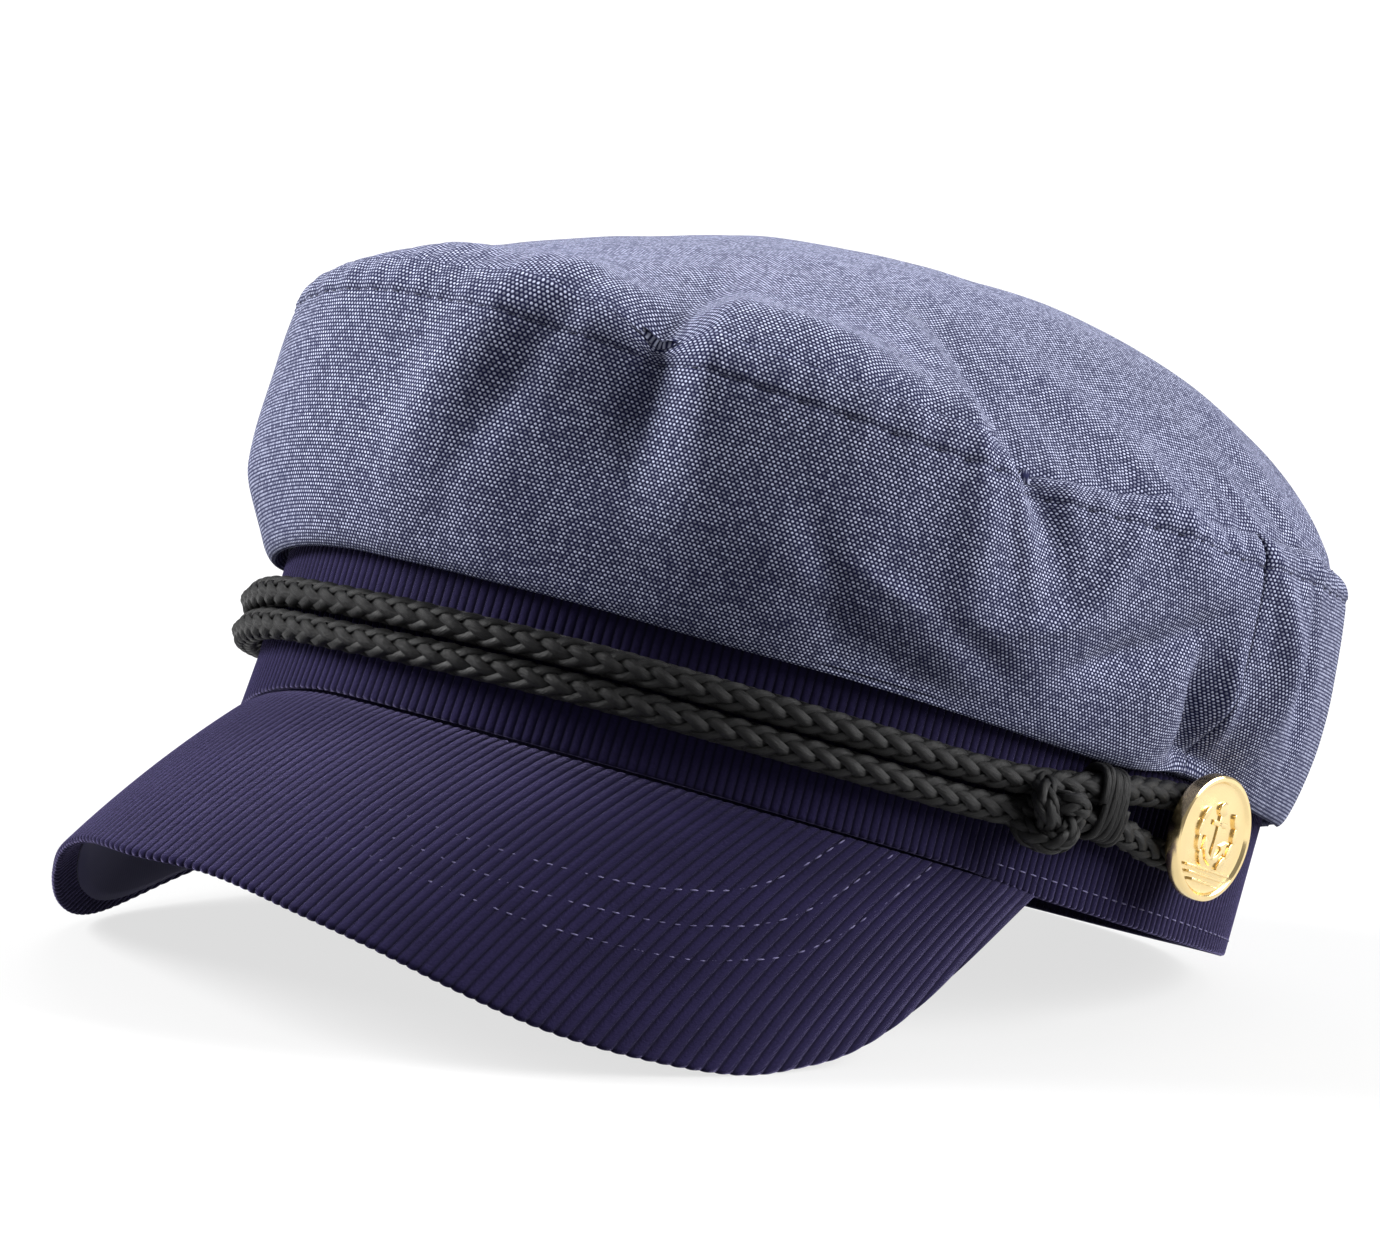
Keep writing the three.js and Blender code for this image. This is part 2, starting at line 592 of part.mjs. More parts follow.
function makeButton(side) {
  const radius = 0.5 * BUTTON_DIAMETER;
  const back = 2 * CLEARANCE + CORD_DIAMETER + 0.1;
  const face = back + BUTTON_THICKNESS;
  const profile = [
    [0, CLEARANCE],
    [0.5 * SHANK_DIAMETER, CLEARANCE],
    [0.5 * SHANK_DIAMETER, back],
    [radius - 0.7, back],
    [radius, back + 0.7],
    [radius, face - 0.5],
    [radius - 0.4, face],
    [radius - BUTTON_RIM, face],
    [radius - BUTTON_RIM - 0.5, face - 0.6],
    [0.5 * radius, face - 0.2],
    [0, face],
  ];
  const disc = new THREE.LatheGeometry(profile.map(([r, z]) => new THREE.Vector2(r, z)), 24).rotateX(Math.PI / 2);
  let solid = toSolid(facingOut(mergeVertices(disc.deleteAttribute("normal").deleteAttribute("uv"), 1e-4)));
  const depth = 1.4; // each raised shape is sunk into the disc
  const raise = (shape) => {
    const raised = new THREE.ExtrudeGeometry(shape, { depth, bevelEnabled: false, curveSegments: 3 });
    raised.translate(0, 0, face + RELIEF_HEIGHT - 0.2 - depth);
    solid = solid.add(toSolid(raised));
  };
  const scaled = (points) => points.map(([x, y]) => new THREE.Vector2(x * radius, y * radius));
  const oval = (x, y, long, wide, turn, count) =>
    angles(count, 0, 2 * Math.PI)
      .slice(0, -1)
      .map((a) => {
        const [u, v] = [long * Math.cos(a), wide * Math.sin(a)];
        return [x + u * Math.cos(turn) - v * Math.sin(turn), y + u * Math.sin(turn) + v * Math.cos(turn)];
      });
  const bar = (left, low, right, high) => [[left, low], [right, low], [right, high], [left, high]];
  const ring = new THREE.Shape(scaled(oval(0, 0.47, 0.12, 0.12, 0, 12)));
  ring.holes.push(new THREE.Path(scaled(oval(0, 0.47, 0.06, 0.06, 0, 8))));
  raise(ring);
  for (const points of ANCHOR_BARS) raise(new THREE.Shape(scaled(bar(...points))));
  raise(new THREE.Shape(scaled([...ANCHOR_ARM, ...ANCHOR_ARM.slice(1, -1).reverse().map(([x, y]) => [-x, y])])));
  for (const y of BUTTON_RULES) {
    const half = Math.sqrt(0.8 ** 2 - y ** 2);
    raise(new THREE.Shape(scaled(bar(-half, y - 0.025, half, y + 0.025))));
  }
  for (const leaf of BUTTON_SPRIG) {
    for (const hand of [-1, 1]) {
      const turn = Math.PI / 2 - hand * (Math.PI / 2 - rad(leaf.turn));
      raise(new THREE.Shape(scaled(oval(hand * leaf.x, leaf.y, 0.14, 0.055, turn, 6))));
    }
  }
  return toGeometry(solid).applyMatrix4(onBand(side * rad(BUTTON_ANGLE), BUTTON_HEIGHT));
}
addPiece("button_left", makeButton(1), gilt);
addPiece("button_right", makeButton(-1), gilt);

// Standing: the front is tipped up, and the cap leans a little sideways, until the lowest points of
// the peak's two sides and of the band's back are level.
function turned(tilt, lean) {
  return new THREE.Matrix4().makeRotationY(lean).multiply(new THREE.Matrix4().makeRotationX(-tilt));
}

// The lowest point of a piece on one side of the middle, or on both if side is 0.
function lowest(mesh, turn, side) {
  const at = mesh.geometry.attributes.position;
  const point = new THREE.Vector3();
  let low = Infinity;
  for (let i = 0; i < at.count; i++) {
    point.fromBufferAttribute(at, i);
    if (side * point.x >= 0) low = Math.min(low, point.applyMatrix4(turn).z);
  }
  return low;
}

// The value between two limits at which a rising function is 0.
function balance(low, high, rise) {
  while (high - low > 1e-6) {
    const half = (low + high) / 2;
    if (rise(half) < 0) low = half;
    else high = half;
  }
  return high;
}

const band = cap.getObjectByName("band");
const peak = cap.getObjectByName("peak");
let lean = 0;
let tilt = 0;
for (let round = 0; round < 20; round++) {
  tilt = balance(rad(5), rad(30), (t) => lowest(peak, turned(t, lean), 0) - lowest(band, turned(t, lean), 0));
  lean = balance(rad(-5), rad(5), (l) => lowest(peak, turned(tilt, l), -1) - lowest(peak, turned(tilt, l), 1));
}
for (const mesh of cap.children) mesh.geometry.applyMatrix4(turned(tilt, lean));
const box = new THREE.Box3().setFromObject(cap);
const middle = box.getCenter(new THREE.Vector3());
for (const mesh of cap.children) mesh.geometry.translate(-middle.x, -middle.y, -box.min.z);

export default cap;
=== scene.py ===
# %% [markdown]
# # A soft sailor's cap
# This notebook dresses a soft peaked cap: blue-grey chambray crown, navy corduroy band and peak, a
# doubled black braid tied with two knots, and a gilt button at each side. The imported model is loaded
# first. It is the frame that every piece is fitted to, so a piece is right when it lies where the
# plain solid lies. Each step below first says what the real thing is and how it could be made.

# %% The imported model
import json
import math

import bmesh
import bpy
import numpy as np
from mathutils import Matrix, Vector, noise


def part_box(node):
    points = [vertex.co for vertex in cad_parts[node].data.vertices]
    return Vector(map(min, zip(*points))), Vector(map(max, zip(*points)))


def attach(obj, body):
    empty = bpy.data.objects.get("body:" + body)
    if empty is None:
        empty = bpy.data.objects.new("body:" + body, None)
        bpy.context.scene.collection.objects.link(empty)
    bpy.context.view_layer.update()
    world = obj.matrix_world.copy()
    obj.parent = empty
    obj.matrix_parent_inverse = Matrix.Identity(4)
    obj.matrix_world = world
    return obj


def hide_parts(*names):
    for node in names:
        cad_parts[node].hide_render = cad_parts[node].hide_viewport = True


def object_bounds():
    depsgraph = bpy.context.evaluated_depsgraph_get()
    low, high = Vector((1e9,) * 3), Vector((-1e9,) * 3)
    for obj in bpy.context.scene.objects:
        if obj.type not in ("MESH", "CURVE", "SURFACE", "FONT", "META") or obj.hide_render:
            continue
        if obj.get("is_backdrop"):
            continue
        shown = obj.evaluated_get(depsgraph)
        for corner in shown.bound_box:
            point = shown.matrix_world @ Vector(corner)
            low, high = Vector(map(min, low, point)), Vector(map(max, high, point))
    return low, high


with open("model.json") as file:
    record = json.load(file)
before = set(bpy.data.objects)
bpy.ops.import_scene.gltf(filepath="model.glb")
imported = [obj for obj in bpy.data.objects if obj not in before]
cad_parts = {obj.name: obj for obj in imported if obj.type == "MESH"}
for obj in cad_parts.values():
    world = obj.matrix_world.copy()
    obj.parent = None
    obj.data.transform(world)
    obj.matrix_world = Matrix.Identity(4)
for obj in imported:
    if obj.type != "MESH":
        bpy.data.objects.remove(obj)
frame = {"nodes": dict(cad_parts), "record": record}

cad_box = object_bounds()
print("nodes", sorted(frame["nodes"]))
print("box in mm", [[round(1000 * x, 1) for x in corner] for corner in cad_box])

# %% [markdown]
# ## The camera
# A photographer of caps stands well back with a long lens, so that the near side doesn't look
# swollen. The camera could be aimed by eye, but here it is worked out from four plain facts: the side
# that it looks from, its height, how far it is turned about its own axis, and its distance.

# %% The camera
CAMERA_AZIMUTH = math.radians(45.0)
CAMERA_ELEVATION = math.radians(8.77)
CAMERA_ROLL = math.radians(5.17)
CAMERA_DISTANCE = 1.5
CAMERA_TARGET = Vector((-0.01535, 0.01479, 0.05863))
SENSOR_WIDTH = 36.0
FOCAL_LENGTH = 208.57

camera_back = Vector((
    math.sin(CAMERA_AZIMUTH) * math.cos(CAMERA_ELEVATION),
    -math.cos(CAMERA_AZIMUTH) * math.cos(CAMERA_ELEVATION),
    math.sin(CAMERA_ELEVATION),
))
camera = bpy.data.objects.new("camera", bpy.data.cameras.new("camera"))
bpy.context.scene.collection.objects.link(camera)
camera.data.lens = FOCAL_LENGTH
camera.data.sensor_width = SENSOR_WIDTH
camera.rotation_mode = "QUATERNION"
camera.location = CAMERA_TARGET + camera_back * CAMERA_DISTANCE
aim = (-camera_back).to_track_quat("-Z", "Y").to_matrix()
camera.rotation_quaternion = (aim @ Matrix.Rotation(CAMERA_ROLL, 3, "Z")).to_quaternion()
bpy.context.scene.camera = camera
print("camera at", [round(x, 3) for x in camera.location])

# %% [markdown]
# ## The head's own frame
# A cap is cut and sewn round a head, so its sizes are easiest to say in millimetres round the head:
# an angle from the forehead, a distance out from the band, and a height above the band's lower edge.
# On the table the cap stands tipped back on its peak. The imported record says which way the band's
# edge faces, and that gives both angles of the tip. The band's own box then gives the place.

# %% Sizes round the head
MM = 0.001
HEAD_FRONT, HEAD_BACK, HEAD_SIDE = 101, 99, 83
FRONT_SQUARENESS, BACK_SQUARENESS = 2.05, 2.6
BAND_HEIGHT, BAND_WALL, BAND_FLARE = 27.5, 2.4, 2
CLEARANCE = 0.35
RIGHT_SAG, EDGE_SAG, RIGHT_PRESS = 5, 3.5, 5.5
SAG_ANGLES, PRESS_ANGLES = (0, 38, 42, 100), (5, 52, 75, 125)
CROWN_RISE = 50
EDGE_SAG_FADE, PRESS_FADE = 0.4 * BAND_HEIGHT, 0.3 * CROWN_RISE
PEAK_END_ANGLE, FLARE_FADE_ANGLE = math.radians(89), math.radians(60)
# shares of the band's height, and of its flare there
FLARE_ROWS, FLARE_SHARES = (0, 0.3, 1), (0.5, 0.1, 0)
TURNS = 68  # points round the plain solid's band


def smooth(x, low, high):
    t = np.clip((x - low) / (high - low), 0, 1)
    return t * t * (3 - 2 * t)


def mix(a, b, share):
    return a + (b - a) * share


def head_radius(angle):
    ahead = np.cos(angle)
    length = np.where(ahead > 0, HEAD_FRONT, HEAD_BACK)
    squareness = np.where(ahead > 0, FRONT_SQUARENESS, BACK_SQUARENESS)
    total = (np.abs(ahead) / length) ** squareness + (np.abs(np.sin(angle)) / HEAD_SIDE) ** squareness
    return total ** (-1 / squareness)


def at_right(angle, angles):
    """How much of what comes at the right of the forehead there is at an angle."""
    start, full, fading, gone = np.radians(angles)
    right = -np.arctan2(np.sin(angle), np.cos(angle))
    return smooth(right, start, full) * (1 - smooth(right, fading, gone))


def round_head(angle, out, height):
    """Points in mm, out from the band's face and at a height."""
    sag = RIGHT_SAG + EDGE_SAG * (1 - smooth(height, 0, EDGE_SAG_FADE))
    press = RIGHT_PRESS * (1 - smooth(height, BAND_HEIGHT, BAND_HEIGHT + PRESS_FADE))
    radius = head_radius(angle) + out - press * at_right(angle, PRESS_ANGLES)
    drop = sag * at_right(angle, SAG_ANGLES)
    parts = (radius * np.sin(angle), -radius * np.cos(angle), height - drop)
    return np.stack(np.broadcast_arrays(*parts), -1)


def band_out(angle, share):
    """How far the peak pushes the band out, as a share of its flare."""
    return BAND_FLARE * share * (1 - smooth(np.abs(angle), FLARE_FADE_ANGLE, PEAK_END_ANGLE))


# %% From the head to the table
edge_mount = next(m for m in frame["record"]["mounts"] if m["name"] == "band_edge")
head_up = -Vector(edge_mount["axis"])
tilt = math.asin(head_up.y)
lean = math.atan2(head_up.x, head_up.z)
turn = np.array(Matrix.Rotation(lean, 3, "Y") @ Matrix.Rotation(-tilt, 3, "X"))

ring_angles = np.arange(TURNS) * 2 * math.pi / TURNS - math.pi
band_rings = np.concatenate([
    round_head(ring_angles, band_out(ring_angles, share) - depth, rise * BAND_HEIGHT)
    for rise, share in zip(FLARE_ROWS, FLARE_SHARES)
    for depth in (0, BAND_WALL)
]) @ turn.T
band_low, band_high = (np.array(corner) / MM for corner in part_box("band"))
head_origin = band_low - band_rings.min(0)
print("tipped", round(math.degrees(tilt), 2), "and leaning", round(math.degrees(lean), 2), "degrees")
print("band fits to", round(float(np.abs(band_rings.max(0) + head_origin - band_high).max()), 4), "mm")


def to_table(points):
    """Points of the head's frame, in mm, as places on the table, in metres."""
    return (points @ turn.T + head_origin) * MM


# %% [markdown]
# ## A skin from a grid
# Cloth is a flat thing that is bent, so each cloth piece starts as a flat grid, which Blender's
# create_grid makes, and every point of the grid is then moved to its place on the form. The grid also
# carries a cloth map: two lengths in mm, along and across the weave, that the materials read. So the
# weave follows the folds. Edges that meet are welded, and a Solidify modifier gives the cloth its
# thickness. Moving a grid is quicker than sculpting, and it gives the same result each time.

# %% Helpers for skins
WELD_DISTANCE = 1e-3


def skin(name, points, cloth, fill=False):
    """A mesh object from a grid, moved to points[column, row] in mm, with cloth[column, row] as its map."""
    columns, rows = points.shape[0] - 1, points.shape[1] - 1
    bm = bmesh.new()
    bmesh.ops.create_grid(bm, x_segments=columns, y_segments=rows, size=0.5)
    bm.verts.ensure_lookup_table()
    flat = np.array([v.co for v in bm.verts])
    i = np.rint((flat[:, 0] + 0.5) * columns).astype(int)
    j = np.rint((flat[:, 1] + 0.5) * rows).astype(int)
    places = to_table(points[i, j])
    lengths = cloth[i, j]
    for vert, place in zip(bm.verts, places):
        vert.co = place
    layer = bm.loops.layers.uv.new("cloth")
    for face in bm.faces:
        face.smooth = True
        for loop in face.loops:
            loop[layer].uv = lengths[loop.vert.index]
    bmesh.ops.remove_doubles(bm, verts=bm.verts, dist=WELD_DISTANCE * MM)
    if fill:
        bmesh.ops.holes_fill(bm, edges=[e for e in bm.edges if e.is_boundary], sides=0)
    return finish_piece(name, bm)


def finish_piece(name, bm):
    mesh = bpy.data.meshes.new(name)
    bm.to_mesh(mesh)
    bm.free()
    piece = bpy.data.objects.new(name, mesh)
    bpy.context.scene.collection.objects.link(piece)
    print(name, len(mesh.polygons), "faces")
    return piece


def smooth_piece(name, bm):
    for face in bm.faces:
        face.smooth = True
    return finish_piece(name, bm)


def give_wall(piece, thickness):
    wall = piece.modifiers.new("wall", "SOLIDIFY")
    wall.thickness = thickness * MM
    wall.offset = -1
    return piece


def arc_lengths(points, axis):
    """Distance along each line of points."""
    steps = np.linalg.norm(np.diff(points, axis=axis), axis=-1)
    start = np.zeros_like(np.take(steps, [0], axis=axis))
    return np.concatenate([start, np.cumsum(steps, axis=axis)], axis=axis)


def at_lengths(at, length, rows):
    """The rows of x, y and z at some lengths along a line."""
    return np.stack([np.interp(at, length, rows[:, k]) for k in range(3)], -1)


def ripple(points, size, seed):
    """Soft noise from -1 to 1 at points in mm, with lumps of about a size."""
    shift = Vector((13.7 * seed, 7.1 * seed, 3.3 * seed))
    flat = points.reshape(-1, 3) / size
    values = [noise.noise(Vector(p) + shift) for p in flat]
    return np.array(values).reshape(points.shape[:-1])


# %% [markdown]
# ## The crown's form
# The crown is three panels of chambray. It leaves the band's top edge, puffs over it, rises to a seam
# round the top panel, and the top panel is a low dome that has sunk a little. Level says how far up
# the cloth a point is: 0 at the band, 1 at the seam and 2 in the middle of the top. Folds are drawn
# as soft valleys and ridges from a table. Cloth simulation could make folds too, but not these ones.

# %% Sizes of the crown
CROWN_WALL = 1.5
SIDE_DIP, BACK_DIP = 4, 1
DOME_RISE, DOME_FRONT_POWER, DOME_BACK_POWER = 34.5, 1.45, 3.5
FRONT_OVERHANG, SIDE_OVERHANG, BACK_OVERHANG = 9.5, 9, 5
PUFF_DROP, FOLD_DEPTH = 2.5, 8
SIDE_SEAM_ANGLE = math.radians(108)
BUTTON_ANGLE, BUTTON_PRESS_ANGLE = math.radians(110.8), math.radians(10)
SIDE_TO_END_POWER = 1.6

# level, rise, drop, front, side, back
CROWN_SECTIONS = np.array([
    (0.00, 0.00, 0.0, -0.10, -0.10, -0.20),
    (0.03, 0.00, 0.1, 0.08, 0.08, 0.20),
    (0.07, 0.00, 0.9, 0.25, 0.27, 0.65),
    (0.13, 0.05, 0.8, 0.50, 0.55, 0.90),
    (0.25, 0.20, 0.0, 0.80, 0.87, 1.05),
    (0.42, 0.39, 0.0, 0.97, 1.00, 1.10),
    (0.62, 0.61, 0.0, 1.00, 1.00, 0.95),
    (0.80, 0.81, 0.0, 1.00, 0.86, 0.75),
    (0.92, 0.93, 0.0, 0.93, 0.65, 0.50),
    (1.00, 1.00, 0.0, 0.70, 0.40, -0.05),
])
RISE, DROP, FRONT, SIDE, BACK = 1, 2, 3, 4, 5

# angle, level, length, width, depth, lean: the folds that the plain solid has too
CROWN_FOLDS = [
    (25, 0.90, 0.26, 0.10, 0.22, -8),
    (24, 0.58, 0.36, 0.28, 0.55, -6),
    (9, 0.75, 0.45, 0.14, -0.30, 16),
    (70, 0.98, 0.36, 0.34, 0.62, -20),
    (63, 0.66, 0.32, 0.11, -0.32, -6),
    (89, 1.02, 0.46, 0.13, -0.34, -50),
    (60, 0.12, 0.10, 0.50, 0.30, 0),
    (90, 0.42, 0.12, 0.40, 0.30, -30),
    (103, 0.42, 0.20, 0.14, 0.40, 0),
    (109, 0.10, 0.24, 0.24, 0.60, 4),
    (117, 0.62, 0.60, 0.12, -0.25, 12),
    (146, 0.20, 0.35, 0.12, 0.45, 8),
    (171, 0.90, 0.45, 0.20, 0.60, -8),
    (-160, 0.22, 0.35, 0.12, 0.45, 0),
    (-136, 0.85, 0.50, 0.18, 0.60, 10),
    (-109, 0.10, 0.24, 0.24, 0.60, -4),
    (-92, 0.95, 0.40, 0.20, 0.70, -12),
    (-68, 0.30, 0.14, 0.45, 0.35, 4),
]

# The same columns: finer creases that only this skin has
FINE_FOLDS = [
    (25.6, 1.02, 0.30, 0.075, 0.30, -9),
    (26, 0.72, 0.26, 0.070, 0.22, -8),
    (31, 0.90, 0.34, 0.085, -0.24, -8),
    (0, 1.075, 0.080, 0.30, -0.38, 0),
    (15, 1.065, 0.080, 0.22, -0.42, 0),
    (37, 1.095, 0.085, 0.30, -0.60, 0),
    (52, 1.05, 0.070, 0.30, -0.22, 0),
    (13, 0.70, 0.34, 0.070, 0.20, 18),
    (5, 0.62, 0.34, 0.090, -0.16, 16),
    (57, 1.14, 0.26, 0.080, -0.28, -34),
    (65, 1.08, 0.30, 0.070, 0.26, -34),
    (84, 1.10, 0.20, 0.200, 0.26, -44),
    (72, 0.80, 0.24, 0.070, 0.26, -22),
    (67, 0.80, 0.30, 0.055, -0.24, -22),
    (82, 0.66, 0.26, 0.065, -0.20, 30),
    (48, 0.34, 0.22, 0.060, 0.14, -34),
    (53, 0.20, 0.045, 0.26, 0.18, 10),
    (56, 0.34, 0.040, 0.20, -0.12, 14),
    (66, 0.26, 0.045, 0.22, 0.18, 16),
    (74, 0.40, 0.045, 0.20, -0.12, -20),
    (86, 0.38, 0.045, 0.22, 0.18, -26),
    (98, 0.56, 0.050, 0.18, 0.18, -34),
    (104, 0.26, 0.20, 0.050, 0.36, -24),
    (108, 0.36, 0.20, 0.050, -0.24, -20),
    (113, 0.70, 0.30, 0.070, -0.30, -22),
    (121, 0.62, 0.34, 0.060, 0.26, -18),
    (165, 1.00, 0.070, 1.20, 0.26, 0),
    (150, 0.70, 0.30, 0.080, 0.16, 6),
    (-150, 0.60, 0.30, 0.080, 0.16, -12),
    (-120, 0.60, 0.30, 0.070, 0.16, 16),
    (-80, 0.60, 0.30, 0.070, 0.16, -10),
    (-40, 0.80, 0.25, 0.070, 0.14, 8),
]


def column(table, at, level):
    """A column of a table at a level, along a smooth curve through its rows."""
    levels, values = table[:, 0], table[:, at]
    i = np.clip(np.searchsorted(levels, level), 1, len(levels) - 1)
    rows = np.arange(len(levels))
    low, high = np.maximum(rows - 1, 0), np.minimum(rows + 1, rows[-1])
    slopes = (values[high] - values[low]) / (levels[high] - levels[low])
    span = levels[i] - levels[i - 1]
    t = (level - levels[i - 1]) / span
    return (
        (2 * t**3 - 3 * t**2 + 1) * values[i - 1]
        + (t**3 - 2 * t**2 + t) * span * slopes[i - 1]
        + (3 * t**2 - 2 * t**3) * values[i]
        + (t**3 - t**2) * span * slopes[i]
    )


def overhang(angle, level):
    front = column(CROWN_SECTIONS, FRONT, level) * FRONT_OVERHANG
    side = column(CROWN_SECTIONS, SIDE, level) * SIDE_OVERHANG
    back = column(CROWN_SECTIONS, BACK, level) * BACK_OVERHANG
    end = np.where(np.cos(angle) > 0, front, back)
    return mix(side, end, np.abs(np.cos(angle)) ** SIDE_TO_END_POWER)


def fold_depth(angle, level, folds):
    depth = 0
    for at, height, length, width, deep, leaning in folds:
        away = angle - math.radians(at)
        away = np.arctan2(np.sin(away), np.cos(away))
        across = away * (HEAD_SIDE + SIDE_OVERHANG) * np.minimum(1, 2 - level) / CROWN_RISE
        up = level - height
        c, s = math.cos(math.radians(leaning)), math.sin(math.radians(leaning))
        x, y = (across * c - up * s) / width, (across * s + up * c) / length
        depth = depth + deep * np.exp(-x * x - y * y)
    return FOLD_DEPTH * depth * smooth(level, 0.02, 0.15)


def seam_height(angle):
    dip = np.where(np.cos(angle) > 0, 0, BACK_DIP)
    return BAND_HEIGHT + CLEARANCE + CROWN_RISE - mix(SIDE_DIP, dip, np.cos(angle) ** 2)


def crown_shape(angle, level):
    """The crown's smooth shape, without folds."""
    angle, level = np.broadcast_arrays(angle, level)
    low = np.minimum(level, 1)
    rise = column(CROWN_SECTIONS, RISE, low)
    from_button = np.arccos(np.cos(angle)) - BUTTON_ANGLE
    over_button = np.exp(-((from_button / BUTTON_PRESS_ANGLE) ** 2))
    drop = column(CROWN_SECTIONS, DROP, low) * PUFF_DROP * (1 - over_button)
    height = mix(BAND_HEIGHT + CLEARANCE, seam_height(angle), rise) - drop
    side = round_head(angle, overhang(angle, low), height)
    shrink = 2 - np.maximum(level, 1)
    edge = round_head(angle, overhang(angle, 1.0), seam_height(angle))
    middle_power = (DOME_FRONT_POWER + DOME_BACK_POWER) / 2
    power = middle_power - (DOME_BACK_POWER - DOME_FRONT_POWER) / 2 * np.cos(angle)
    dome = DOME_RISE * (1 - shrink**power)
    top_height = mix(seam_height(math.pi / 2), edge[..., 2], shrink**2) + dome
    top = np.stack([edge[..., 0] * shrink, edge[..., 1] * shrink, top_height], -1)
    return np.where((level <= 1)[..., None], side, top)


def unit(vectors):
    return vectors / np.maximum(np.linalg.norm(vectors, axis=-1, keepdims=True), 1e-9)


def crown_outward(angle, level, step=0.02):
    """The direction in which the smooth crown looks."""
    most = np.minimum(level, 1.97)
    along = unit(crown_shape(angle + step, most) - crown_shape(angle - step, most))
    up = unit(crown_shape(angle, most + step) - crown_shape(angle, np.maximum(most - step, 0)))
    return unit(np.cross(along, up))


# %% [markdown]
# ## Sewing the crown
# At a seam the cloth turns inwards, so the seam is a narrow valley. Beside it the hidden allowance
# makes the cloth a little thicker, as far as the row of topstitches, and the thread puckers it. Those
# are small, but they are what tells sewn cloth from a painted shell, so they are in the mesh.

# %% Crown panels
SEAM_TURN, SEAM_TURN_WIDTH, SIDE_SEAM_SHARE = 0.55, 1.1, 0.6
TOPSTITCH_GAP, TOPSTITCH_PULL, TOPSTITCH_PULL_WIDTH = 6.5, 0.25, 0.6
ALLOWANCE_LIFT, ALLOWANCE_FADE = 0.45, (TOPSTITCH_GAP - 1.2, TOPSTITCH_GAP + 0.4)
PUCKER_LENGTH, PUCKER_DEPTH, PUCKER_GAP, PUCKER_WIDTH = 7.0, 0.22, 4, 5.0
LIMP_SIZE, LIMP_DEPTH, TOP_LIMP = 34.0, 1.1, 0.4
CRUMPLE_SIZE, CRUMPLE_DEPTH = 12.0, 0.28
FRONT_COLUMNS, BACK_COLUMNS, TOP_COLUMNS, TOP_ROWS = 400, 280, 420, 74
GRAIN_TURN = math.radians(38)


def sewn_depth(seam_gap, along, lined):
    """How far a seam and its stitching pull the cloth in, by the distance from the seam in mm."""
    turn_in = SEAM_TURN * np.exp(-((seam_gap / SEAM_TURN_WIDTH) ** 2))
    lift = ALLOWANCE_LIFT * (1 - smooth(seam_gap, *ALLOWANCE_FADE)) * lined
    stitch = TOPSTITCH_PULL * np.exp(-(((seam_gap - TOPSTITCH_GAP) / TOPSTITCH_PULL_WIDTH) ** 2)) * lined
    uneven = 1.7 * np.sin(along / 9.0) + 1.1 * np.sin(along / 23.0)
    wave = np.sin(2 * math.pi * along / PUCKER_LENGTH + uneven)
    pucker = PUCKER_DEPTH * wave * np.exp(-(((seam_gap - PUCKER_GAP) / PUCKER_WIDTH) ** 2))
    return turn_in - lift + stitch + pucker


def crown_surface(angle, level, seam_gap, lined):
    """The crown's outside with every fold."""
    smooth_form = crown_shape(angle, level)
    out = crown_outward(angle, level)
    radius = head_radius(angle) + SIDE_OVERHANG
    along = angle * radius.mean()
    depth = fold_depth(angle, level, CROWN_FOLDS) + fold_depth(angle, level, FINE_FOLDS)
    ease = smooth(level, 0.02, 0.2)
    limp = LIMP_DEPTH * ripple(smooth_form, LIMP_SIZE, 1) * ease * mix(1, TOP_LIMP, smooth(level, 1, 1.2))
    crumple = CRUMPLE_DEPTH * ripple(smooth_form, CRUMPLE_SIZE, 5) * ease
    depth = depth + limp + crumple + sewn_depth(seam_gap, along, lined) * ease
    return smooth_form - out * depth[..., None]


def side_levels():
    turned, middle, top = np.linspace(0, 0.15, 16), np.linspace(0.15, 0.86, 44), np.linspace(0.86, 1, 16)
    return np.concatenate([turned, middle[1:], top[1:]])


def make_side_panel(name, start, end, columns):
    angle = np.linspace(start, end, columns + 1)[:, None]
    level = side_levels()[None, :]
    angle, level = np.broadcast_arrays(angle, level)
    radius = head_radius(angle) + overhang(angle, np.clip(level, 0.3, 0.9))
    side_gap = np.minimum(angle - start, end - angle) * radius
    top_gap = (1 - level) * CROWN_RISE
    points = crown_surface(angle, level, top_gap, 1.0)
    out = crown_outward(angle, level)
    turned = SIDE_SEAM_SHARE * SEAM_TURN * np.exp(-((side_gap / SEAM_TURN_WIDTH) ** 2))
    points = points - out * (turned * smooth(level, 0.02, 0.2))[..., None]
    middle = points.shape[0] // 2
    across = arc_lengths(points[:, points.shape[1] // 2][:, None], 0)
    up = arc_lengths(points[middle][None, :], 1)
    across, up = np.broadcast_arrays(across, up)
    return give_wall(skin(name, points, np.stack([across, up], -1)), CROWN_WALL)


def make_top_panel(name, columns, rows):
    angle = np.linspace(-math.pi, math.pi, columns + 1)[:, None]
    near = np.linspace(1, 1.16, 22)
    level = np.concatenate([near, np.linspace(1.16, 2, rows - 20)[1:]])[None, :]
    angle, level = np.broadcast_arrays(angle, level)
    seam_gap = (level - 1) * (head_radius(angle) + overhang(angle, 1.0))
    points = crown_surface(angle, level, seam_gap, 0.0)
    points[:, -1] = points[:, -1].mean(0)
    travel = arc_lengths(points, 1)
    reach = travel[:, -1:] - travel
    x, y = reach * np.sin(angle), -reach * np.cos(angle)
    c, s = math.cos(GRAIN_TURN), math.sin(GRAIN_TURN)
    return give_wall(skin(name, points, np.stack([c * x + s * y, c * y - s * x], -1)), CROWN_WALL)


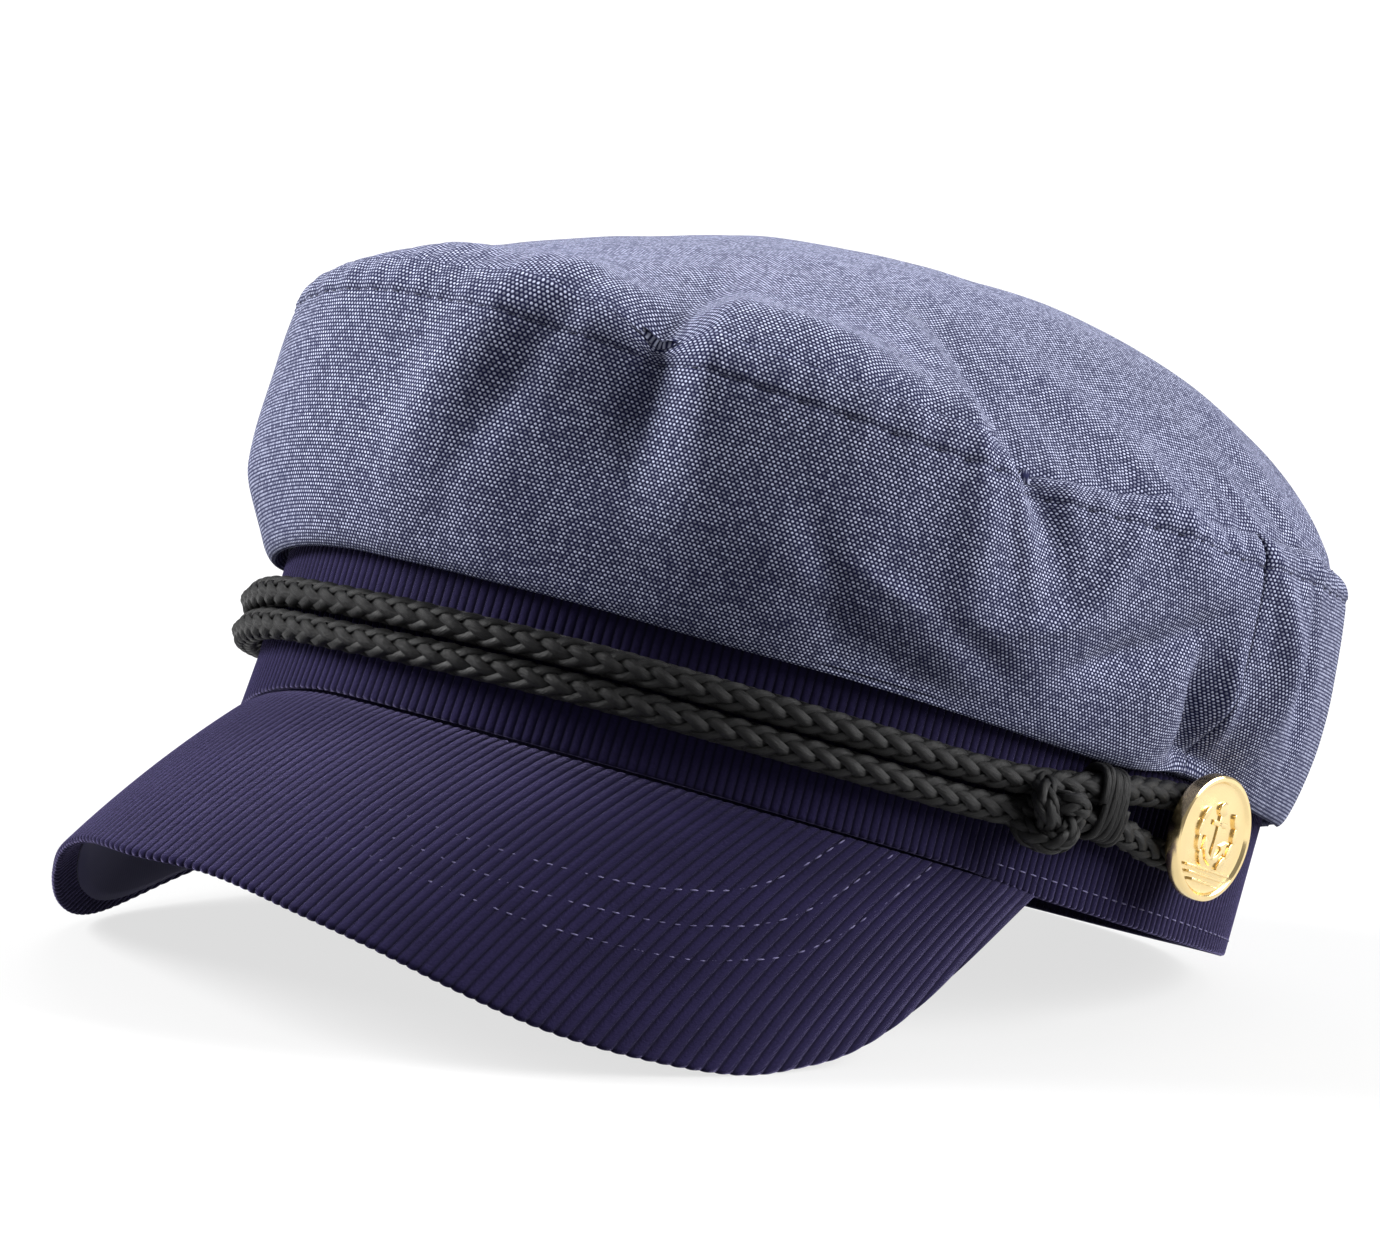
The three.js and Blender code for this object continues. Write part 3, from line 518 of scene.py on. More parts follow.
FAR_SEAM_ANGLE = 2 * math.pi - SIDE_SEAM_ANGLE
crown_front = make_side_panel("crown_front_cloth", -SIDE_SEAM_ANGLE, SIDE_SEAM_ANGLE, FRONT_COLUMNS)
crown_back = make_side_panel("crown_back_cloth", SIDE_SEAM_ANGLE, FAR_SEAM_ANGLE, BACK_COLUMNS)
crown_top = make_top_panel("crown_top_cloth", TOP_COLUMNS, TOP_ROWS)

# %% [markdown]
# ## The band
# The band is a strip of corduroy, 27 mm high, with its wales upright. A wale is a rib of cut pile
# with a narrow gutter beside it. It could be a bump in the material, but raking light and the
# outline show it, so each wale has eight strips of faces across it.

# %% Corduroy wales
WALE_PITCH, WALE_HEIGHT, WALE_ROUNDNESS = 1.75, 0.28, 0.75
WALE_STATIONS = np.array([0.0, 0.07, 0.2, 0.36, 0.5, 0.64, 0.8, 0.93])


def wale_rise(position):
    """Height of the pile in mm, at a position counted in wales."""
    share = position - np.floor(position)
    return WALE_HEIGHT * np.sin(math.pi * np.clip(share, 0, 1)) ** WALE_ROUNDNESS


def wale_positions(count):
    steps = (np.arange(count)[:, None] + WALE_STATIONS[None, :]).ravel()
    return np.append(steps, count)


def finite_normal(form, a, b, step=0.01):
    """The outward direction of form(a, b), for a running round the head and b up or in."""
    along = form(a + step, b) - form(a - step, b)
    up = form(a, b + step) - form(a, b - step)
    return unit(np.cross(along, up))


# %% The band's strip
BAND_ROWS = np.array([0.0, 0.012, 0.03, 0.07, 0.14, 0.22, 0.3, 0.42, 0.56, 0.7, 0.84, 0.94, 0.985, 1.0])
BAND_EDGE_ROUND = 0.7
# angles where the edge starts to dip or lift, is fully there, fades and is level, and by how much
EDGE_DIP_ANGLES, EDGE_DIP = (75, 92, 118, 160), 1.2
EDGE_LIFT_ANGLES, EDGE_LIFT = (80, 105, 150, 176), 2.2


def edge_shift(angle):
    """How far wear has moved the band's lower edge: down at the left, up at the right."""
    return EDGE_LIFT * at_right(angle, EDGE_LIFT_ANGLES) - EDGE_DIP * at_right(-angle, EDGE_DIP_ANGLES)


def make_band():
    fine = np.linspace(-math.pi, math.pi, 4001)
    length = arc_lengths(round_head(fine, 0.0, 0.5 * BAND_HEIGHT)[:, None], 0)[:, 0]
    count = round(length[-1] / WALE_PITCH)
    wale = wale_positions(count)
    angle = np.interp(wale / count * length[-1], length, fine)[:, None]
    rows = BAND_ROWS[None, :]
    share = np.interp(rows, FLARE_ROWS, FLARE_SHARES)
    edge = np.minimum(rows, 1 - rows) * BAND_HEIGHT
    circle = 1 - np.sqrt(np.clip(1 - (1 - edge / BAND_EDGE_ROUND) ** 2, 0, 1))
    rounding = BAND_EDGE_ROUND * circle * (edge < BAND_EDGE_ROUND)
    rise = wale_rise(wale)[:, None] - WALE_HEIGHT
    outside = round_head(angle, band_out(angle, share) + rise - rounding, rows * BAND_HEIGHT)
    outside[..., 2] += edge_shift(angle) * (1 - rows)
    inner_rows = BAND_ROWS[::-3][None, :]
    inner_out = band_out(angle, np.interp(inner_rows, FLARE_ROWS, FLARE_SHARES)) - BAND_WALL
    inside = round_head(angle, inner_out + 0 * rise, inner_rows * BAND_HEIGHT)
    inside[..., 2] += edge_shift(angle) * (1 - inner_rows)
    points = np.concatenate([outside, inside, outside[:, :1]], 1)
    up = np.concatenate([rows, inner_rows, rows[:, :1]], 1) * BAND_HEIGHT
    across, up = np.broadcast_arrays(wale[:, None], up)
    print("wales round the band", count)
    return skin("band_corduroy", points, np.stack([across, up], -1))


band = make_band()

# %% [markdown]
# ## The peak
# The peak is a stiff crescent wrapped in corduroy. It is a bent sheet: every wale runs straight
# ahead from the band and bends down a little, and because the band curves back, the two sides of the
# peak droop. The grid's columns follow the wales, and each column closes round the edge.

# %% Sizes of the peak
PEAK_LENGTH, PEAK_WALL, PEAK_EDGE = 55, 3, 1.8
PEAK_SLOPE, PEAK_END_SLOPE, PEAK_BEND = math.radians(36), math.radians(46), math.radians(14)
PEAK_RIGHT_SHARE, PEAK_RIGHT_CUT, PEAK_RIGHT_DROOP = 0.86, 0.26, math.radians(6.5)
PEAK_DROOP_ANGLE, PEAK_SHORT_ANGLE = math.radians(20), math.radians(28)
PEAK_CUT_ANGLES = math.radians(40), math.radians(75)
# place between the forehead and the peak's end, length
PEAK_OUTLINE = np.array([
    (0.0, 0.985), (0.12, 0.975), (0.26, 1.04), (0.337, 1.075), (0.449, 1.125), (0.562, 1.15),
    (0.674, 1.125), (0.8, 1.05), (0.87, 0.945), (0.9, 0.89), (0.921, 0.835), (0.944, 0.75),
    (0.966, 0.62), (0.983, 0.44), (0.994, 0.22), (1.0, 0.0),
])
PEAK_SPLAY, PEAK_SPLAY_ANGLE = math.radians(5), math.radians(40)


def peak_sheet(angle, out):
    sideways = smooth(np.abs(angle), PEAK_DROOP_ANGLE, PEAK_END_ANGLE)
    slope = mix(PEAK_SLOPE, PEAK_END_SLOPE, sideways) + PEAK_RIGHT_DROOP * at_right(angle, SAG_ANGLES)
    bend = PEAK_BEND / PEAK_LENGTH
    ahead = (np.sin(slope + bend * out) - np.sin(slope)) / bend
    down = (np.cos(slope) - np.cos(slope + bend * out)) / bend
    splay = math.tan(PEAK_SPLAY) * smooth(np.abs(angle), PEAK_SPLAY_ANGLE, PEAK_END_ANGLE)
    start = round_head(angle, band_out(angle, 0.5), -CLEARANCE)
    return start - np.stack(np.broadcast_arrays(-np.sign(angle) * splay * out, ahead, down), -1)


def peak_length(angle):
    level = np.abs(angle) / PEAK_END_ANGLE
    share = mix(1, PEAK_RIGHT_SHARE, smooth(-angle, 0, PEAK_SHORT_ANGLE))
    share = share * (1 - PEAK_RIGHT_CUT * smooth(-angle, *PEAK_CUT_ANGLES))
    return share * PEAK_LENGTH * np.maximum(column(PEAK_OUTLINE, 1, np.minimum(level, 1)), 0.02)


def peak_wales():
    """Angles of the grid's columns, and the position of each, counted in wales."""
    fine = np.linspace(-PEAK_END_ANGLE, PEAK_END_ANGLE, 4001)
    start, ahead = peak_sheet(fine, 0.0 * fine), peak_sheet(fine, 0 * fine + 1.0)
    ruling = unit(ahead - start)
    step = np.diff(start, axis=0)
    sideways = step - (step * ruling[:-1]).sum(-1)[:, None] * ruling[:-1]
    length = np.append(0, np.cumsum(np.linalg.norm(sideways, axis=-1)))
    count = round(length[-1] / WALE_PITCH)
    wale = wale_positions(count)
    return np.interp(wale / count * length[-1], length, fine), wale


# %% Faces of the peak
TOP_SHARES = np.concatenate([
    [0, 0.001, 0.004, 0.015], np.linspace(0.03, 0.94, 29), [0.96, 0.975, 0.988, 1.0],
])
PEAK_MEETS_BAND, PEAK_MEETS_LENGTH = -0.3, 1.6
EDGE_TURNS = np.linspace(0, math.pi, 9)[1:-1]
TURNED_UNDER = 4.4
TURNED_LENGTHS = np.array([0.0, 1.1, 2.2, 3.3, TURNED_UNDER])
UNDER_SHARES = np.array([0.985, 0.9, 0.75, 0.55, 0.35, 0.15, 0.0])
LINING_GAP, LINING_WALL, LINING_TUCK = 0.12, 0.5, 0.3


def peak_normal(angle, out):
    """The direction in which the peak's top looks."""
    return -finite_normal(peak_sheet, angle + 0 * out, out)


def peak_edge_start(angle):
    """How far out the top ends and the rounded edge begins."""
    length = peak_length(angle)
    return np.maximum(length - 0.5 * PEAK_EDGE, 0.3 * length)


def peak_thickness(angle, out):
    return mix(PEAK_WALL, PEAK_EDGE, smooth(out / peak_length(angle), 0.75, 1))


def make_peak():
    angle, wale = peak_wales()
    angle = angle[:, None]
    length, edge_start = peak_length(angle), peak_edge_start(angle)
    rise = (wale_rise(wale) - WALE_HEIGHT)[:, None]
    top_out = TOP_SHARES[None, :] * edge_start
    met = PEAK_MEETS_BAND * np.exp(-((top_out / PEAK_MEETS_LENGTH) ** 2))
    top = peak_sheet(angle, top_out) + peak_normal(angle, top_out) * (rise + met)[..., None]
    up = peak_normal(angle, edge_start)
    middle = peak_sheet(angle, edge_start) - up * 0.5 * PEAK_EDGE
    ahead = unit(peak_sheet(angle, edge_start + 0.1) - peak_sheet(angle, edge_start))
    reach = ((length - edge_start) / (0.5 * PEAK_EDGE))[..., None]
    over = EDGE_TURNS[None, :, None]
    radius = 0.5 * PEAK_EDGE + rise[..., None]
    edge = middle + radius * (up * np.cos(over) + reach * ahead * np.sin(over))
    under_out = np.maximum(edge_start - TURNED_LENGTHS[None, :], 0.6 * edge_start)
    ribbed = peak_thickness(angle, under_out) + rise
    turned = peak_sheet(angle, under_out) - peak_normal(angle, under_out) * ribbed[..., None]
    rest_out = UNDER_SHARES[None, :] * under_out[:, -1:]
    plain = peak_thickness(angle, rest_out)[..., None] - 2 * WALE_HEIGHT
    rest = peak_sheet(angle, rest_out) - peak_normal(angle, rest_out) * plain
    points = np.concatenate([top, edge, turned, rest, top[:, :1]], 1)[:, ::-1]
    up_cloth = arc_lengths(points, 1)
    across, _ = np.broadcast_arrays(wale[:, None], up_cloth)
    print("wales across the peak", round(wale[-1]))
    print("the peak is", round(float(length.max()), 1), "mm long")
    return skin("peak_corduroy", points, np.stack([across, up_cloth], -1), fill=True)


def make_peak_lining():
    """The plain cloth under the peak, from the band to the turned corduroy."""
    angle = np.linspace(-0.985, 0.985, 241)[:, None] * PEAK_END_ANGLE
    most = np.maximum(peak_edge_start(angle) - TURNED_UNDER + LINING_TUCK, 0.62 * peak_edge_start(angle))
    out = np.linspace(0, 1, 19)[None, :] * most
    depth = peak_thickness(angle, out) - 2 * WALE_HEIGHT + LINING_GAP + LINING_WALL
    points = peak_sheet(angle, out) - peak_normal(angle, out) * depth[..., None]
    across, up_cloth = arc_lengths(points, 0), arc_lengths(points, 1)
    cloth = np.stack([across, up_cloth], -1)
    return give_wall(skin("peak_lining", points[::-1], cloth[::-1]), LINING_WALL)


peak = make_peak()
peak_lining = make_peak_lining()

# %% [markdown]
# ## The braid
# The cord is a round braid of twelve yarns, six turning each way, and each passes over two of the
# others and then under two. So the yarns that lie on top slant one way in one column and the other
# way in the next, like a row of Vs. A bumpy tube would look like a pipe close up, so every yarn is
# its own thin tube. Its centre turns round the cord's centre, and moves out and in as it passes over
# and under. The route is the plain solid's: along the front, round the button's shank and back.

# %% The cord's route
CORD_DIAMETER = 5.6
# angle, height, held off the band
CORD_PATH = [
    (0, 16.2, 0), (14, 16.8, 0), (28, 17.3, 0), (42, 17.4, 0), (58, 17.5, 0), (74, 17.8, 0),
    (84, 19.2, 0.6), (92.3, 21.3, 1.3), (99, 22.7, 0.6), (105, 23.7, 0), (110.6, 24.0, 0),
    (113.4, 22.6, 0), (114.7, 18.7, 0), (113.4, 14.8, 0), (110.6, 13.4, 0), (105, 13.2, 0),
    (99, 14.4, 0.6), (92.3, 15.4, 1.3), (84, 13.3, 0.6), (74, 11.8, 0), (58, 11.6, 0),
    (42, 11.5, 0), (28, 11.4, 0), (14, 10.8, 0), (0, 9.9, 0),
]


def face_direction(angle):
    """The direction in which the band looks at an angle."""
    step = 0.01
    along = round_head(angle + step, 0.0, 0.0) - round_head(angle - step, 0.0, 0.0)
    return unit(np.stack([along[..., 1], -along[..., 0], 0 * along[..., 0]], -1))


def cord_place(row, side):
    angle = np.array(side * math.radians(row[0]))
    place = round_head(angle, band_out(angle, 0.1), row[1])
    return place + face_direction(angle) * (0.5 * CORD_DIAMETER + CLEARANCE + row[2])


def rounded_route(points, steps):
    """A smooth closed curve through points, which pulls tighter where they are closer."""
    rounds = []
    count = len(points)
    for i in range(count):
        p0, p1, p2, p3 = (points[(i + k) % count] for k in (-1, 0, 1, 2))
        d0, d1, d2 = (math.sqrt(np.linalg.norm(b - a)) for a, b in ((p0, p1), (p1, p2), (p2, p3)))
        m1 = ((p1 - p0) / d0 - (p2 - p0) / (d0 + d1) + (p2 - p1) / d1) * d1
        m2 = ((p2 - p1) / d1 - (p3 - p1) / (d1 + d2) + (p3 - p2) / d2) * d1
        t = np.arange(steps)[:, None] / steps
        rounds.append(
            (2 * t**3 - 3 * t**2 + 1) * p1 + (t**3 - 2 * t**2 + t) * m1
            + (3 * t**2 - 2 * t**3) * p2 + (t**3 - t**2) * m2
        )
    return np.concatenate(rounds)


def evenly(points, outward, spacing, closed):
    """The same route with its points evenly spaced, the outward directions there, and the lengths."""
    if closed:
        points, outward = (np.concatenate([rows, rows[:1]]) for rows in (points, outward))
    length = arc_lengths(points[:, None], 0)[:, 0]
    at = np.linspace(0, length[-1], round(length[-1] / spacing) + 1)
    return at_lengths(at, length, points), at_lengths(at, length, outward), at


# %% Yarns of a braid
YARNS_EACH_WAY, YARN_STEP, YARN_SIDES = 6, 0.5, 5
# shares of the braid's diameter
YARN_WIDTH, YARN_THICKNESS, YARN_WEAVE = 0.38, 0.25, 0.09


def route_frame(points, outward, closed):
    """Directions out and up at each point of a route."""
    if closed:
        along = unit(np.roll(points[:-1], -1, 0) - np.roll(points[:-1], 1, 0))
        along = np.concatenate([along, along[:1]])
    else:
        along = unit(np.gradient(points, axis=0))
    out = unit(outward - (outward * along).sum(-1)[:, None] * along)
    return out, np.cross(along, out)


def tube(points, outward, width, thickness, sides, closed):
    """Grid points of a tube with an oval section: thickness towards outward, width across it."""
    out, up = route_frame(points, outward, closed)
    around = np.linspace(0, 2 * math.pi, sides + 1)[None, :, None]
    section = thickness * np.cos(around) * out[:, None] + width * np.sin(around) * up[:, None]
    return points[:, None] + 0.5 * section


def braid_yarns(route, outward, diameter, pitch, closed):
    """The tubes of a braid round a route. Pitch is one full turn of a yarn."""
    even, outward, at = evenly(route, outward, YARN_STEP, closed)
    out, up = route_frame(even, outward, closed)
    length = at[-1]
    turns = round(length / pitch) if closed else length / pitch
    phase = 2 * math.pi * turns * at / length
    width, thickness, weave = (share * diameter for share in (YARN_WIDTH, YARN_THICKNESS, YARN_WEAVE))
    middle = 0.5 * (diameter - thickness) - weave
    tubes = []
    for hand in (1, -1):
        for k in range(YARNS_EACH_WAY):
            angle = hand * phase + (2 * k + 0.5) * math.pi / YARNS_EACH_WAY
            over = hand * np.cos(YARNS_EACH_WAY / 2 * phase + math.pi * k + hand * math.pi / 4)
            radius = middle + weave * over
            radial = np.cos(angle)[:, None] * out + np.sin(angle)[:, None] * up
            yarn = even + radius[:, None] * radial
            tubes.append(tube(yarn, radial, width, thickness, YARN_SIDES, closed))
    return tubes, length


def joined_tubes(name, tubes):
    """One piece from several tubes."""
    meshes = []
    for number, points in enumerate(tubes):
        around = np.broadcast_to(np.linspace(0, 1, points.shape[1])[None, :], points.shape[:2])
        along = arc_lengths(points, 0)
        cloth = np.stack([along[:, :1] + 0 * along + 31.7 * number, around], -1)
        part = skin(f"{name}_{number}", points, cloth)
        meshes.append(part.data)
        bpy.data.objects.remove(part)
    bm = bmesh.new()
    for mesh in meshes:
        bm.from_mesh(mesh)
        bpy.data.meshes.remove(mesh)
    bmesh.ops.holes_fill(bm, edges=[e for e in bm.edges if e.is_boundary], sides=0)
    return finish_piece(name, bm)


# %% The doubled cord
BRAID_PITCH, BRAID_FULLNESS = 29.0, 0.35


def make_cord():
    inner = CORD_PATH[1:-1]
    rows = [cord_place(row, 1) for row in CORD_PATH] + [cord_place(row, -1) for row in reversed(inner)]
    route = rounded_route(np.array(rows), 12)
    outward = face_direction(np.arctan2(route[:, 0], -route[:, 1]))
    tubes, length = braid_yarns(route, outward, CORD_DIAMETER + BRAID_FULLNESS, BRAID_PITCH, True)
    print("cord loop", round(length), "mm long")
    return joined_tubes("cord_braid", tubes)


cord = make_cord()

# %% [markdown]
# ## The knots
# Each end of the cord is bound round both strands with a few tight turns, so that the knot slides,
# and what is left is tied into a hard ball. The binding is one thin tube that winds round an oval.
# The ball is a length of the same braid that follows a three-lobed knot, pulled tight.

# %% Knots
BINDING_ANGLE, BINDING_LENGTH, BINDING_WRAPS = math.radians(92.3), 8.4, 6
BINDING_HEIGHTS, BINDING_OFF, BINDING_ROUNDNESS = (21.3, 15.4), 1.3, 0.75
BALL_ANGLE, BALL_HEIGHT = math.radians(82.3), 13.6
BALL_LENGTH, BALL_WIDTH, BALL_THICKNESS = 16.5, 15.5, 12.5
BALL_CORD, BALL_PITCH = 5.0, 26.0


def on_band(points, angle, height):
    """Points drawn with x along the band, y up and z out, placed at an angle and a height."""
    angle = np.array(angle)
    out = face_direction(angle)
    up = np.array([0.0, 0.0, 1.0])
    along = np.cross(up, out)
    origin = round_head(angle, band_out(angle, 0.1), height)
    return origin + points[..., 0:1] * along + points[..., 1:2] * up + points[..., 2:3] * out


def turned_on_band(vectors, angle):
    return on_band(vectors, angle, 0.0) - on_band(np.zeros(3), angle, 0.0)


def binding_tubes(side):
    thread = BINDING_LENGTH / BINDING_WRAPS
    half_height = 0.5 * (BINDING_HEIGHTS[0] - BINDING_HEIGHTS[1]) + 0.5 * CORD_DIAMETER + 0.4 * thread
    half_depth = 0.5 * CORD_DIAMETER + 0.4 * thread
    middle = 0.5 * CORD_DIAMETER + CLEARANCE + BINDING_OFF
    share = np.linspace(0, 1, 60 * BINDING_WRAPS)
    a = share * 2 * math.pi * BINDING_WRAPS
    up, out = (np.sign(v) * np.abs(v) ** BINDING_ROUNDNESS for v in (np.sin(a), np.cos(a)))
    pull = 1 - 0.06 * np.sin(2.3 * a) * np.sin(5.1 * share)
    x = (share - 0.5) * (BINDING_LENGTH - thread)
    path = np.stack([x, half_height * pull * up, middle + half_depth * pull * out], -1)
    radial = np.stack([0 * a, np.sin(a), np.cos(a)], -1)
    angle = side * BINDING_ANGLE
    path, radial = on_band(path, angle, sum(BINDING_HEIGHTS) / 2), turned_on_band(radial, angle)
    return [tube(path, radial, 1.1 * thread, thread, 8, False)]


def ball_tubes(side):
    t = np.linspace(0, 2 * math.pi, 241)[:-1]
    reach = np.array([BALL_LENGTH, BALL_WIDTH, BALL_THICKNESS]) / 2 - 0.5 * BALL_CORD
    x = (2 + np.cos(3 * t)) / 3 * np.cos(2 * t)
    y = (2 + np.cos(3 * t)) / 3 * np.sin(2 * t)
    z = np.sin(3 * t)
    path = np.stack([x, y, z], -1) * reach
    outward = unit(path / reach + np.array([0, 0, 0.001]))
    path = path + np.array([0, 0, 0.5 * BALL_THICKNESS + CLEARANCE])
    angle = side * BALL_ANGLE
    path, outward = on_band(path, angle, BALL_HEIGHT), turned_on_band(outward, angle)
    tubes, _ = braid_yarns(path, outward, BALL_CORD, BALL_PITCH, True)
    return tubes


knots = [
    joined_tubes(name, binding_tubes(side) + ball_tubes(side))
    for name, side in (("knot_left", 1), ("knot_right", -1))
]

# %% [markdown]
# ## Stitches
# Thread shows in three places: the topstitches under the crown's seam, the row along the band's
# lower edge behind the peak, and the curved rows that stiffen the peak, sunk into the pile. One stitch
# is a small oval bead of thread, pressed into the cloth: a stretched icosphere, set along a line.

# %% Stitch rows
STITCH_LENGTH, STITCH_GAP, STITCH_WIDTH, STITCH_THICKNESS = 2.1, 0.85, 0.34, 0.3


def stitch_row(bm, points, outward):
    """Stitches along a line of points in mm."""
    travel = arc_lengths(points[:, None], 0)[:, 0]
    count = int(travel[-1] // (STITCH_LENGTH + STITCH_GAP))
    middle = (np.arange(count) + 0.5) * travel[-1] / count
    place = at_lengths(middle, travel, points)
    facing = unit(at_lengths(middle, travel, outward))
    along = unit(at_lengths(middle, travel, np.gradient(points, axis=0)))
    across = unit(np.cross(facing, along))
    for where, a, b, c in zip(to_table(place), along, across, facing):
        axes = np.stack([a * STITCH_LENGTH / 2, b * STITCH_WIDTH / 2, c * STITCH_THICKNESS / 2], -1)
        matrix = Matrix(turn @ axes * MM).to_4x4()
        matrix.translation = where
        bmesh.ops.create_icosphere(bm, subdivisions=1, radius=1, matrix=matrix)
    return count


def make_crown_stitches():
    bm = bmesh.new()
    angle = np.linspace(-math.pi, math.pi, 1200)
    level = 1 - TOPSTITCH_GAP / CROWN_RISE + 0 * angle
    points = crown_surface(angle, level, 0 * angle + TOPSTITCH_GAP, 1.0)
    out = crown_outward(angle, level)
    count = stitch_row(bm, points + 0.02 * out, out)
    print("stitches round the crown", count)
    return smooth_piece("crown_stitches", bm)


PEAK_STITCH_ROWS = [0.68, 0.575, 0.465]
BAND_STITCH_HEIGHT, BAND_STITCH_START, BAND_STITCH_FLARE = 2.6, math.radians(80), 0.42
SUNK_IN_PILE, SUNK_AT_LEFT, SUNK_FADE_ANGLE = 0.34, 0.14, math.radians(50)


def make_peak_stitches():
    bm = bmesh.new()
    for share in PEAK_STITCH_ROWS:
        most = 0.97 * math.sqrt(share)
        angle = np.linspace(-most, most, 700) * PEAK_END_ANGLE
        out = share * peak_length(angle / most)
        facing = peak_normal(angle, out)
        sunk = mix(SUNK_IN_PILE, SUNK_AT_LEFT, smooth(angle, 0, SUNK_FADE_ANGLE))
        stitch_row(bm, peak_sheet(angle, out) - facing * sunk[:, None], facing)
    angle = np.linspace(BAND_STITCH_START, 2 * math.pi - BAND_STITCH_START, 1500)
    points = round_head(angle, band_out(angle, BAND_STITCH_FLARE), BAND_STITCH_HEIGHT)
    stitch_row(bm, points, face_direction(angle))
    return smooth_piece("corduroy_stitches", bm)


crown_stitches = make_crown_stitches()
corduroy_stitches = make_peak_stitches()

# %% [markdown]
# ## The buttons
# A uniform button is stamped from thin metal: a flat disc with a raised rim, a loop behind it, and a
# picture in low relief. The disc is a half profile that is spun round, which gives a true circle.
# The relief is a plain anchor between two sprigs over ruled lines, each a flat shape that is
# extruded and has its edges bevelled, so that they catch the light as stamped metal does.

# %% Button disc
BUTTON_HEIGHT, BUTTON_DIAMETER, BUTTON_THICKNESS = 18.5, 23.5, 3.2
BUTTON_RIM, SHANK_DIAMETER = 1.3, 4
RELIEF_ROOT, RELIEF_HEIGHT, RELIEF_SUNK, RELIEF_BEVEL = 0.9, 0.5, 0.2, 0.14
BUTTON_BACK = 2 * CLEARANCE + CORD_DIAMETER + 0.1
BUTTON_FACE = BUTTON_BACK + BUTTON_THICKNESS


def button_disc(bm):
    radius = 0.5 * BUTTON_DIAMETER
    profile = [
        (0, CLEARANCE), (0.5 * SHANK_DIAMETER, CLEARANCE), (0.5 * SHANK_DIAMETER, BUTTON_BACK),
        (radius - 0.7, BUTTON_BACK), (radius - 0.2, BUTTON_BACK + 0.25), (radius, BUTTON_BACK + 0.8),
        (radius, BUTTON_FACE - 0.7), (radius - 0.12, BUTTON_FACE - 0.25), (radius - 0.45, BUTTON_FACE),
        (radius - BUTTON_RIM + 0.25, BUTTON_FACE), (radius - BUTTON_RIM, BUTTON_FACE - 0.2),
        (radius - BUTTON_RIM - 0.3, BUTTON_FACE - 0.55), (radius - BUTTON_RIM - 0.9, BUTTON_FACE - 0.65),
        (0.6 * radius, BUTTON_FACE - 0.35), (0.3 * radius, BUTTON_FACE - 0.12), (0, BUTTON_FACE),
    ]
    verts = [bm.verts.new((r, 0, z)) for r, z in profile]
    edges = [bm.edges.new(pair) for pair in zip(verts, verts[1:])]
    full_turn = {"axis": (0, 0, 1), "angle": 2 * math.pi, "steps": 96, "use_merge": True}
    bmesh.ops.spin(bm, geom=verts + edges, cent=(0, 0, 0), **full_turn)
    bmesh.ops.remove_doubles(bm, verts=bm.verts, dist=1e-4)
    bmesh.ops.recalc_face_normals(bm, faces=bm.faces)


# %% Button relief
# x, y and turn of each leaf, as shares of the button's radius and degrees
SPRIG = [(0.3, -0.34, 58), (0.44, -0.12, 74), (0.49, 0.12, 98), (0.43, 0.34, 120)]
RULES = [-0.5, -0.6, -0.7]
ANCHOR_BARS = [(-0.045, -0.34, 0.045, 0.38), (-0.2, 0.2, 0.2, 0.28)]
ANCHOR_ARM = [
    (0, -0.42), (0.17, -0.34), (0.27, -0.18), (0.33, -0.22), (0.32, 0.01), (0.13, -0.08), (0.2, -0.13),
    (0.12, -0.24), (0, -0.3),
]


def raise_shape(bm, outline):
    """A flat shape, drawn in shares of the button's radius, raised from its face with bevelled edges."""
    radius = 0.5 * BUTTON_DIAMETER
    verts = [bm.verts.new((x * radius, y * radius, BUTTON_FACE - RELIEF_ROOT)) for x, y in outline]
    face = bm.faces.new(verts)
    raised = bmesh.ops.extrude_face_region(bm, geom=[face])["geom"]
    tops = [g for g in raised if isinstance(g, bmesh.types.BMVert)]
    bmesh.ops.translate(bm, verts=tops, vec=(0, 0, RELIEF_ROOT + RELIEF_HEIGHT - RELIEF_SUNK))
    rim = [g for g in raised if isinstance(g, bmesh.types.BMEdge)]
    bevel = {"segments": 2, "profile": 0.5, "affect": "EDGES", "material": -1, "clamp_overlap": True}
    bmesh.ops.bevel(bm, geom=rim, offset=RELIEF_BEVEL, **bevel)


def oval(x, y, long, wide, tipped, count):
    a = np.arange(count) * 2 * math.pi / count
    u, v = long * np.cos(a), wide * np.sin(a)
    c, s = math.cos(tipped), math.sin(tipped)
    return list(zip(x + u * c - v * s, y + u * s + v * c))


def button_relief(bm):
    raise_shape(bm, oval(0, 0.47, 0.12, 0.12, 0, 16))
    for left, low, right, high in ANCHOR_BARS:
        raise_shape(bm, [(left, low), (right, low), (right, high), (left, high)])
    raise_shape(bm, ANCHOR_ARM + [(-x, y) for x, y in reversed(ANCHOR_ARM[1:-1])])
    for y in RULES:
        half = math.sqrt(0.8**2 - y**2)
        raise_shape(bm, [(-half, y - 0.02), (half, y - 0.02), (half, y + 0.02), (-half, y + 0.02)])
    for x, y, degrees in SPRIG:
        for hand in (-1, 1):
            leaf_turn = math.pi / 2 - hand * (math.pi / 2 - math.radians(degrees))
            raise_shape(bm, oval(hand * x, y, 0.14, 0.055, leaf_turn, 10))


